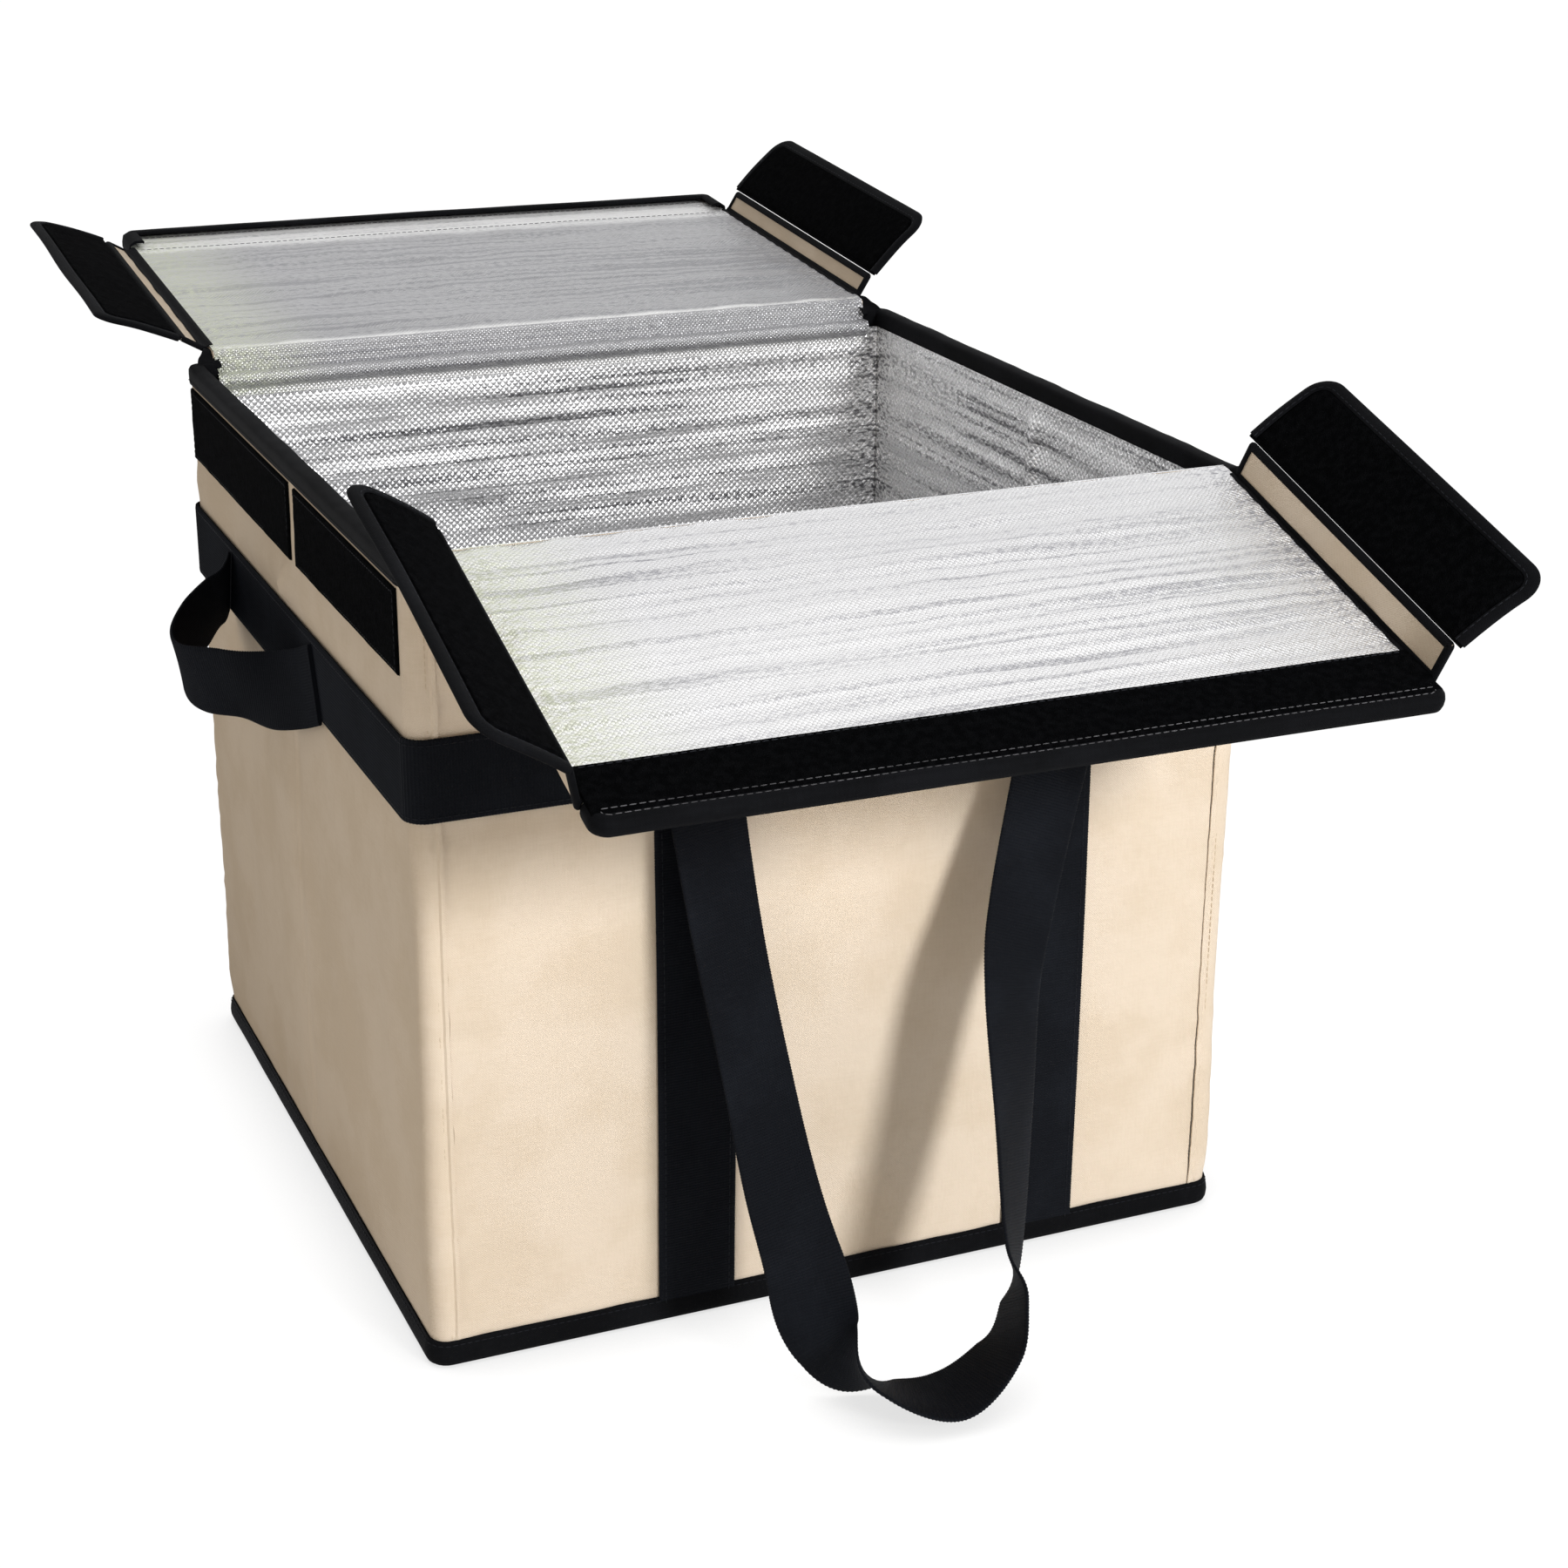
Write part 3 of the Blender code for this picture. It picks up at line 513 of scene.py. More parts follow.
class Nodes:
    """A node tree, with short ways to add nodes and join them."""

    def __init__(self, tree: bpy.types.NodeTree) -> None:
        """Keeps the tree."""
        self.tree = tree

    def add(self, kind: str, **settings: Any) -> bpy.types.Node:
        """Adds a node and sets its properties."""
        node = self.tree.nodes.new(kind)
        for name, value in settings.items():
            setattr(node, name, value)
        return node

    def join(self, source: bpy.types.NodeSocket | float, target: bpy.types.NodeSocket) -> None:
        """Links a socket to another, or writes a number on it."""
        if isinstance(source, bpy.types.NodeSocket):
            self.tree.links.new(source, target)
        else:
            target.default_value = source

    def math(self, operation: str, *values: Any) -> bpy.types.NodeSocket:
        """One Math node's result."""
        node = self.add("ShaderNodeMath", operation=operation)
        for value, socket in zip(values, node.inputs):
            self.join(value, socket)
        return node.outputs[0]

    def ramp(self, value: Any, low: float, high: float, floor: float, top: float) -> bpy.types.NodeSocket:
        """A value mapped smoothly from low..high to floor..top, and held outside."""
        node = self.add("ShaderNodeMapRange", interpolation_type="SMOOTHSTEP")
        for number, socket in zip((value, low, high, floor, top), node.inputs):
            self.join(number, socket)
        return node.outputs[0]

    def noise(
        self, place: Any, scale: float, detail: float = 2.0, stretch: Sequence[float] = (1, 1, 1)
    ) -> Any:
        """A noise texture's value, finer or stretched by a Mapping node."""
        mapping = self.add("ShaderNodeMapping")
        mapping.inputs["Scale"].default_value = stretch
        self.join(place, mapping.inputs["Vector"])
        node = self.add("ShaderNodeTexNoise")
        self.join(mapping.outputs[0], node.inputs["Vector"])
        node.inputs["Scale"].default_value = scale
        node.inputs["Detail"].default_value = detail
        return node.outputs["Fac"]

    def mixed(self, share: Any, first: Any, second: Any) -> bpy.types.NodeSocket:
        """Two colours mixed by a share."""
        node = self.add("ShaderNodeMix", data_type="RGBA")
        self.join(share, node.inputs[0])
        for colour, socket in ((first, node.inputs[6]), (second, node.inputs[7])):
            if isinstance(colour, bpy.types.NodeSocket):
                self.join(colour, socket)
            else:
                socket.default_value = (*colour, 1.0)
        return node.outputs[2]


def new_group(name: str, takes: Sequence[tuple[str, float]], gives: Sequence[str]) -> tuple[Nodes, Any, Any]:
    """A shader node group with float inputs and outputs, and its two end nodes."""
    tree = bpy.data.node_groups.new(name, "ShaderNodeTree")
    for label, value in takes:
        tree.interface.new_socket(label, in_out="INPUT", socket_type="NodeSocketFloat").default_value = value
    for label in gives:
        tree.interface.new_socket(label, in_out="OUTPUT", socket_type="NodeSocketFloat")
    nodes = Nodes(tree)
    return nodes, nodes.add("NodeGroupInput"), nodes.add("NodeGroupOutput")


class Patterns:
    """The shared surface patterns, each a node group on the piece's own flat coordinates in metres."""

    def __init__(self) -> None:
        """Builds each group once."""
        self.weave = self._weave()
        self.foil = self._foil()
        self.fluff = self._fluff()

    @staticmethod
    def _flat(nodes: Nodes) -> tuple[Any, Any, Any]:
        """The flat coordinates, whole and as across and along."""
        place = nodes.add("ShaderNodeTexCoord").outputs["UV"]
        split = nodes.add("ShaderNodeSeparateXYZ")
        nodes.join(place, split.inputs[0])
        return place, split.outputs[0], split.outputs[1]

    def _weave(self) -> bpy.types.NodeTree:
        """Plain weave: the product of two sines, one a yarn, with slubs and soft large blotches."""
        nodes, given, out = new_group("woven_yarns", [("Yarn", 0.0006)], ["Height", "Blotch", "Slub"])
        place, across, along = self._flat(nodes)
        turn = nodes.math("DIVIDE", math.pi, given.outputs["Yarn"])
        waves = [nodes.math("SINE", nodes.math("MULTIPLY", axis, turn)) for axis in (across, along)]
        cross = nodes.math("MULTIPLY", *waves)
        slub = nodes.noise(place, 900.0, 1.0, (0.12, 1.0, 1.0))
        slub_b = nodes.noise(place, 900.0, 1.0, (1.0, 0.12, 1.0))
        slubs = nodes.math("ADD", slub, slub_b)
        height = nodes.math("MULTIPLY_ADD", slubs, 0.5, nodes.math("MULTIPLY", cross, 0.5))
        nodes.join(height, out.inputs["Height"])
        where = nodes.add("ShaderNodeTexCoord").outputs["Object"]
        nodes.join(nodes.noise(where, 22.0, 3.0), out.inputs["Blotch"])
        nodes.join(slubs, out.inputs["Slub"])
        return nodes.tree

    def _foil(self) -> bpy.types.NodeTree:
        """Embossed film: diamonds from two slanting sines bent by noise, long lines across, and crinkles.

        Side rises from 0 to 1 over the last part of the way to the film's side edges.
        """
        takes = [("Cell", 0.0036), ("Bend", 0.0014), ("Half", 0.19)]
        gives = ["Height", "Diamond", "Lines", "Cloud", "Glint", "Side", "Left", "Along"]
        nodes, given, out = new_group("embossed_film", takes, gives)
        place, across, along = self._flat(nodes)
        shifts = [nodes.noise(place, 160.0, 2.0), nodes.noise(place, 131.0, 2.0)]
        bent = [
            nodes.math("MULTIPLY_ADD", shift, given.outputs["Bend"], axis)
            for shift, axis in zip(shifts, (across, along))
        ]
        turn = nodes.math("DIVIDE", math.pi, given.outputs["Cell"])
        slants = [nodes.math(operation, *bent) for operation in ("ADD", "SUBTRACT")]
        waves = [
            nodes.math("ABSOLUTE", nodes.math("SINE", nodes.math("MULTIPLY", slant, turn)))
            for slant in slants
        ]
        diamond = nodes.math("POWER", nodes.math("MULTIPLY", *waves), 0.6)
        share = nodes.math("DIVIDE", across, given.outputs["Half"])
        side = nodes.ramp(nodes.math("ABSOLUTE", share), 0.84, 1.0, 0.0, 1.0)
        crinkle = nodes.noise(place, 330.0, 3.0)
        lines = nodes.noise(place, 190.0, 4.0, (0.012, 1.0, 1.0))
        rough = nodes.math("MULTIPLY_ADD", side, 2.2, 0.8)
        height = nodes.math("MULTIPLY_ADD", crinkle, rough, diamond)
        nodes.join(nodes.math("MULTIPLY_ADD", lines, 1.6, height), out.inputs["Height"])
        nodes.join(diamond, out.inputs["Diamond"])
        nodes.join(lines, out.inputs["Lines"])
        nodes.join(nodes.noise(place, 8.0, 3.0, (0.5, 1.4, 1.0)), out.inputs["Cloud"])
        nodes.join(nodes.noise(place, 420.0, 2.0, (0.6, 1.3, 1.0)), out.inputs["Glint"])
        nodes.join(side, out.inputs["Side"])
        nodes.join(along, out.inputs["Along"])
        nodes.join(nodes.ramp(share, -0.98, -0.62, 1.0, 0.0), out.inputs["Left"])
        return nodes.tree

    def _fluff(self) -> bpy.types.NodeTree:
        """Loops and hooks: fine cells with a softer noise under them."""
        nodes, given, out = new_group("fluff", [("Size", 1400.0)], ["Height", "Tone"])
        place, _, _ = self._flat(nodes)
        cells = nodes.add("ShaderNodeTexVoronoi")
        nodes.join(place, cells.inputs["Vector"])
        nodes.join(given.outputs["Size"], cells.inputs["Scale"])
        soft = nodes.noise(place, 260.0, 3.0)
        nodes.join(nodes.math("SUBTRACT", soft, cells.outputs["Distance"]), out.inputs["Height"])
        nodes.join(soft, out.inputs["Tone"])
        return nodes.tree


class Finish:
    """A finish's common part: the material, its shader and a placed pattern group."""

    @staticmethod
    def start(name: str, rough: float, shine: float, metal: float = 0.0) -> tuple[Any, Nodes, Any]:
        """A new material with plain values on its shader."""
        material = bpy.data.materials.new(name)
        material.use_nodes = True
        shader = material.node_tree.nodes["Principled BSDF"]
        shader.inputs["Roughness"].default_value = rough
        shader.inputs["Specular IOR Level"].default_value = shine
        shader.inputs["Metallic"].default_value = metal
        return material, Nodes(material.node_tree), shader

    @staticmethod
    def place(nodes: Nodes, group: bpy.types.NodeTree, **values: float) -> Any:
        """The pattern group placed in the material with its own values."""
        node = nodes.add("ShaderNodeGroup")
        node.node_tree = group
        for label, value in values.items():
            node.inputs[label].default_value = value
        return node

    @staticmethod
    def relief(nodes: Nodes, shader: Any, height: Any, distance: float, strength: float = 1.0) -> None:
        """Joins a height to the shader's normal through a Bump node."""
        node = nodes.add("ShaderNodeBump")
        node.inputs["Distance"].default_value = distance
        node.inputs["Strength"].default_value = strength
        nodes.join(height, node.inputs["Height"])
        nodes.join(node.outputs[0], shader.inputs["Normal"])


@dataclass(frozen=True)
class ClothFinish:
    """Woven cloth: two tones that blotches mix, a yarn size and a relief."""

    name: str
    tone: tuple[float, float, float]
    worn: tuple[float, float, float]
    yarn: float
    relief: float
    rough: float = 0.9
    shine: float = 0.15

    def material(self, patterns: Patterns) -> bpy.types.Material:
        """The finish as a material."""
        material, nodes, shader = Finish.start(self.name, self.rough, self.shine)
        weave = Finish.place(nodes, patterns.weave, Yarn=self.yarn)
        blotch = nodes.ramp(weave.outputs["Blotch"], 0.35, 0.68, 0.0, 1.0)
        slub = nodes.ramp(weave.outputs["Slub"], 0.8, 1.25, -0.18, 0.18)
        share = nodes.math("ADD", blotch, slub)
        nodes.join(nodes.mixed(share, self.tone, self.worn), shader.inputs["Base Color"])
        Finish.relief(nodes, shader, weave.outputs["Height"], self.relief)
        return material


@dataclass(frozen=True)
class FoilFinish:
    """Metallised film: bright and grey tones mixed by long lines, sparkle and clouds, and an emboss. The grey
    is painted reflection and painted shade: streaks for reflected creases, glints, shade in crinkled sides and
    emboss valleys, and a shade zone by height.
    """

    name: str
    bright: tuple[float, float, float]
    grey: tuple[float, float, float]
    tint: tuple[float, float, float]
    cell: float
    half: float
    relief: float
    lines: float
    sparkle: float
    painted_shade: float
    painted_shade_from: tuple[float, float]
    painted_shade_to: tuple[float, float]
    metal: float = 0.78
    rough: float = 0.38

    def material(self, patterns: Patterns) -> bpy.types.Material:
        """The finish as a material."""
        material, nodes, shader = Finish.start(self.name, self.rough, 0.5, self.metal)
        film = Finish.place(nodes, patterns.foil, Cell=self.cell, Half=self.half)
        given = film.outputs
        # Painted reflection: grey streaks along the long lines stand in for reflected creases, and glints
        # lighten and darken at random as painted highlight
        cloud = nodes.ramp(given["Cloud"], 0.36, 0.62, 0.25, 1.0)
        line = nodes.math("MULTIPLY", nodes.ramp(given["Lines"], 0.46, 0.60, 0.0, self.lines), cloud)
        glint = nodes.ramp(given["Glint"], 0.42, 0.60, -0.5 * self.sparkle, self.sparkle)
        # Painted shade: grey in the crinkles near the side edges and in the emboss valleys, lighter on the
        # crests
        edge = nodes.math("MULTIPLY", nodes.ramp(given["Glint"], 0.48, 0.60, 0.0, 0.45), given["Side"])
        valley = nodes.ramp(given["Diamond"], 0.1, 0.6, 0.10 * self.sparkle, -0.05 * self.sparkle)
        # Painted shade: more grey over a band of the film's height (Along), set per foil by painted_shade and
        # its two ramps
        shade_zone = nodes.math(
            "MULTIPLY",
            nodes.ramp(given["Along"], *self.painted_shade_from, 0.0, self.painted_shade),
            nodes.ramp(given["Along"], *self.painted_shade_to, 1.0, 0.0),
        )
        share = nodes.math("ADD", nodes.math("ADD", line, glint), nodes.math("ADD", edge, valley))
        held = nodes.math("ADD", nodes.ramp(share, 0.0, 1.0, 0.0, 1.0), shade_zone)
        colour = nodes.mixed(held, self.bright, self.grey)
        tinted = nodes.math("MULTIPLY", given["Left"], nodes.ramp(given["Glint"], 0.35, 0.65, 0.15, 0.6))
        nodes.join(nodes.mixed(tinted, colour, self.tint), shader.inputs["Base Color"])
        rough = nodes.ramp(given["Glint"], 0.3, 0.7, self.rough * 0.75, self.rough * 1.4)
        nodes.join(rough, shader.inputs["Roughness"])
        Finish.relief(nodes, shader, given["Height"], self.relief)
        return material


@dataclass(frozen=True)
class TapeFinish:
    """Hook or loop tape: a matte dark pile with a paler bloom."""

    name: str
    tone: tuple[float, float, float]
    bloom: tuple[float, float, float]
    size: float
    relief: float

    def material(self, patterns: Patterns) -> bpy.types.Material:
        """The finish as a material."""
        material, nodes, shader = Finish.start(self.name, 0.95, 0.01)
        pile = Finish.place(nodes, patterns.fluff, Size=self.size)
        share = nodes.ramp(pile.outputs["Tone"], 0.35, 0.7, 0.0, 1.0)
        nodes.join(nodes.mixed(share, self.tone, self.bloom), shader.inputs["Base Color"])
        Finish.relief(nodes, shader, pile.outputs["Height"], self.relief)
        return material


class Finishes:
    """Every material of the tote, built once."""

    def __init__(self) -> None:
        """Builds the materials from their finishes."""
        patterns = Patterns()

        def stock(finish: ClothFinish | TapeFinish | FoilFinish, *kind: Any) -> Stock:
            """A finish made into a material, with its slot and its crease."""
            return Stock(finish.material(patterns), *kind)

        self.canvas = stock(
            ClothFinish("cream_canvas", (0.800, 0.688, 0.560), (0.745, 0.628, 0.492), 0.00055, 0.00014),
            Slot.FABRIC,
        )
        black, worn = (0.0028, 0.0030, 0.0037), (0.0054, 0.0058, 0.0072)
        self.binding = stock(
            ClothFinish("black_binding", black, worn, 0.0005, 0.0001, 0.75, 0.045), Slot.BINDING, 60.0
        )
        black, worn = (0.0022, 0.0023, 0.0029), (0.0042, 0.0044, 0.0052)
        self.tab = stock(ClothFinish("black_tab_cloth", black, worn, 0.0005, 0.0001, 0.9, 0.02), Slot.TAB)
        black, worn = (0.0034, 0.0042, 0.0064), (0.0064, 0.0078, 0.0112)
        self.webbing = stock(
            ClothFinish("ribbed_webbing", black, worn, 0.0007, 0.0001, 0.7, 0.07), Slot.WEBBING
        )
        black, worn = (0.012, 0.013, 0.017), (0.020, 0.022, 0.027)
        self.dark_thread = stock(ClothFinish("dark_thread", black, worn, 0.0003, 0.00005, 0.7, 0.1))
        self.grey_thread = stock(
            ClothFinish("grey_thread", (0.13, 0.13, 0.14), (0.06, 0.06, 0.065), 0.0003, 0.00005, 0.7, 0.1)
        )
        self.cream_thread = stock(
            ClothFinish("cream_thread", (0.70, 0.58, 0.43), (0.60, 0.49, 0.35), 0.0003, 0.00005, 0.8, 0.2)
        )
        self.foam = stock(
            ClothFinish("white_foam", (0.82, 0.82, 0.80), (0.74, 0.74, 0.71), 0.0012, 0.0003), Slot.FOAM
        )
        self.board = stock(
            ClothFinish("grey_board", (0.34, 0.32, 0.29), (0.28, 0.26, 0.23), 0.0009, 0.0001), Slot.BOARD
        )
        black = (0.0014, 0.0015, 0.0018)
        self.hook = stock(TapeFinish("hook_pile", black, (0.0034, 0.0036, 0.0042), 1500.0, 0.0004), Slot.HOOK)
        self.loop = stock(TapeFinish("loop_pile", black, (0.0036, 0.0038, 0.0045), 1100.0, 0.0005), Slot.LOOP)
        # Painted shade per foil: the wall linings and base darker towards the bottom, the front lid's foil
        # darker near its hinge, and the back lid's foil greyed over its middle between brighter hinge and
        # free-edge bands, a shaded copy of the same film
        wall = FoilFinish(
            name="wall_foil",
            bright=(0.96, 0.96, 0.97),
            grey=(0.20, 0.20, 0.21),
            tint=(0.88, 0.88, 0.88),
            cell=0.0036,
            half=0.197,
            relief=0.00035,
            lines=0.75,
            sparkle=0.34,
            painted_shade=0.14,
            painted_shade_from=(-0.02, -0.01),
            painted_shade_to=(0.20, 0.34),
            metal=0.82,
            rough=0.30,
        )
        front = FoilFinish(
            name="front_lid_foil",
            bright=(0.95, 0.95, 0.96),
            grey=(0.42, 0.42, 0.45),
            tint=(0.80, 0.84, 0.62),
            cell=0.0024,
            half=0.187,
            relief=0.0004,
            lines=0.55,
            sparkle=0.22,
            painted_shade=0.20,
            painted_shade_from=(-0.01, 0.005),
            painted_shade_to=(0.02, 0.11),
        )
        back = FoilFinish(
            name="back_lid_foil",
            bright=(0.95, 0.95, 0.95),
            grey=(0.36, 0.36, 0.38),
            tint=(0.78, 0.82, 0.62),
            cell=0.0024,
            half=0.190,
            relief=0.0005,
            lines=0.55,
            sparkle=0.18,
            painted_shade=0.76,
            painted_shade_from=(0.001, 0.007),
            painted_shade_to=(0.190, 0.206),
        )
        self.wall_foil = stock(wall, Slot.FOIL)
        self.front_foil = stock(front, Slot.FOIL)
        self.back_foil = stock(back, Slot.FOIL)


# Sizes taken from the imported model


@dataclass(frozen=True)
class BagSizes:
    """The bag's main sizes, read from the boxes of its solids."""

    half_width: float
    half_depth: float
    height: float
    radius: float
    seam: float
    wall_bottom: float
    wall_top: float
    rim_bottom: float
    hem_top: float
    lining: float
    belt: tuple[float, float]
    straps: tuple[float, float]
    strap_top: float

    @staticmethod
    def measured(model: Model) -> "BagSizes":
        """The sizes of the model that is loaded."""
        wall = model.span("front_wall")
        side = model.span("right_wall")
        rim = model.span("rim_binding")
        hem = model.span("base_binding")
        belt = model.span("front_belt")
        straps = [model.span(node) for node in ("front_left_strap", "front_right_strap")]
        return BagSizes(
            half_width=float(side[1][0]),
            half_depth=float(-wall[0][1]),
            height=float(rim[1][2]),
            radius=8.0 * MM,
            seam=float(side[0][0]),
            wall_bottom=float(wall[0][2]),
            wall_top=float(wall[1][2]),
            rim_bottom=float(rim[0][2]),
            hem_top=float(hem[1][2]),
            lining=float(model.span("right_liner")[0][0]),
            belt=(float(belt[0][2]), float(belt[1][2])),
            straps=tuple(float((low[0] + high[0]) / 2.0) for low, high in straps),
            strap_top=float(straps[0][1][2]),
        )


@dataclass(frozen=True)
class SoftWalls:
    """The walls' soft shape: each bows out between hem and belt, and the side walls crease inwards.

    A point is moved along the outward direction of the wall that it is near. The bow falls to nothing at
    the corners, the hem and the belt, so the bindings, webbing and handles keep their places.
    """

    sizes: BagSizes
    end_bow: float = 2.4 * MM
    side_bow: float = 1.4 * MM
    fold: float = 3.2 * MM
    fold_reach: float = 9.0 * MM

    def __call__(self, points: Array) -> Array:
        """The points with the walls' soft shape.

        The bow is the product of a plateau in height and a parabola across the wall.
        """
        x, y, z = points[..., 0], points[..., 1], points[..., 2]
        tall = smooth_step(0.012, 0.11, z) * (1.0 - smooth_step(0.17, self.sizes.belt[0] - 0.004, z))
        upper = plateau(z, self.sizes.belt[1] + 0.012, self.sizes.rim_bottom - 0.03, 0.012)
        on_end = smooth_step(0.93, 0.96, np.abs(y) / self.sizes.half_depth)
        on_side = smooth_step(0.93, 0.96, np.abs(x) / self.sizes.half_width)
        along_end = np.clip(1.0 - (x / (self.sizes.half_width - 0.012)) ** 2, 0.0, 1.0) ** 2
        along_side = np.clip(1.0 - (y / (self.sizes.half_depth - 0.012)) ** 2, 0.0, 1.0) ** 2
        crease = bump(y, 0.0, self.fold_reach) * smooth_step(0.012, 0.05, z)
        crease = crease * (1.0 - smooth_step(self.sizes.belt[0] - 0.03, self.sizes.belt[0], z))
        moved = points.copy()
        moved[..., 1] += np.sign(y) * on_end * along_end * self.end_bow * (tall + 0.2 * upper)
        lift = along_side * self.side_bow * (tall + 0.2 * upper) - self.fold * crease
        moved[..., 0] += np.sign(x) * on_side * lift
        return moved


class Outline:
    """The bag's outline from above: a rectangle with round corners, by its length from the front middle."""

    def __init__(self, sizes: BagSizes) -> None:
        """Samples the outline once: straight sides are two points, and each corner has twenty-four."""
        a, b, r = sizes.half_width, sizes.half_depth, sizes.radius
        angles = np.linspace(0.0, math.pi / 2.0, 25)
        places, normals = [np.array([[0.0, -b]])], [np.array([[0.0, -1.0]])]
        for quarter, (sx, sy) in enumerate(((1, -1), (1, 1), (-1, 1), (-1, -1))):
            turn = angles + (quarter - 1) * math.pi / 2.0
            round_off = np.stack([np.cos(turn), np.sin(turn)], axis=-1)
            places.append(np.array([sx * (a - r), sy * (b - r)]) + r * round_off)
            normals.append(round_off)
        self.places = np.concatenate([*places, places[0]])
        self.normals = np.concatenate([*normals, normals[0]])
        steps = np.linalg.norm(np.diff(self.places, axis=0), axis=1)
        self.run = np.concatenate([[0.0], np.cumsum(steps)])
        self.length = float(self.run[-1])

    def at(self, run: Array) -> tuple[Array, Array]:
        """Level points and outward normals at running lengths, past one turn or below none as well."""
        wrapped = np.mod(run, self.length)
        place = [np.interp(wrapped, self.run, self.places[:, k]) for k in (0, 1)]
        normal = [np.interp(wrapped, self.run, self.normals[:, k]) for k in (0, 1)]
        flat = np.zeros_like(place[0])
        return np.stack([*place, flat], axis=-1), unit(np.stack([*normal, flat], axis=-1))


@dataclass(frozen=True)
class Workshop:
    """What every sub-assembly is made from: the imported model, its sizes, the finishes and the soft walls."""

    model: Model
    sizes: BagSizes
    finishes: Finishes
    soft: SoftWalls
    outline: Outline


def grid(across: Array, along: Array) -> tuple[Array, Array]:
    """Two lists of places as a grid whose rows run along and whose columns run across."""
    return np.meshgrid(across, along)


def stacked(*axes: Any) -> Array:
    """Several coordinate arrays as one array of points."""
    return np.stack(np.broadcast_arrays(*axes), axis=-1)


def evenly(low: float, high: float, pitch: float) -> Array:
    """Places from low to high, about a pitch apart."""
    return np.linspace(low, high, max(2, int(round((high - low) / pitch)) + 1))


def rounded_pad(
    low: Array, high: Array, pitch: float, edge: float, swell: Callable[[Array, Array], Array] | None = None
) -> Shape:
    """A low pad on a flat base: its top falls to the base round its edge as a quarter of an ellipse.

    Args:
        low: lowest corner, as (across, along, facing).
        high: highest corner.
        pitch: distance between points.
        edge: width of the rounded edge.
        swell: extra height at (across, along), none by default.

    Returns:
        The closed pad.
    """
    across, along = grid(*(graded(low[k], high[k], (low[k], high[k]), edge / 4, pitch, edge) for k in (0, 1)))
    inset = np.minimum(
        np.minimum(across - low[0], high[0] - across), np.minimum(along - low[1], high[1] - along)
    )
    share = np.sqrt(np.clip(1.0 - (1.0 - np.clip(inset / edge, 0.0, 1.0)) ** 2, 0.0, 1.0))
    top = low[2] + (high[2] - low[2]) * (0.15 + 0.85 * share)
    if swell:
        top = top + swell(across, along) * share
    face = stacked(across, along, top)
    return sheet(face, face[..., :2], top - low[2], (0, 0, 1))


# Walls, lining and base


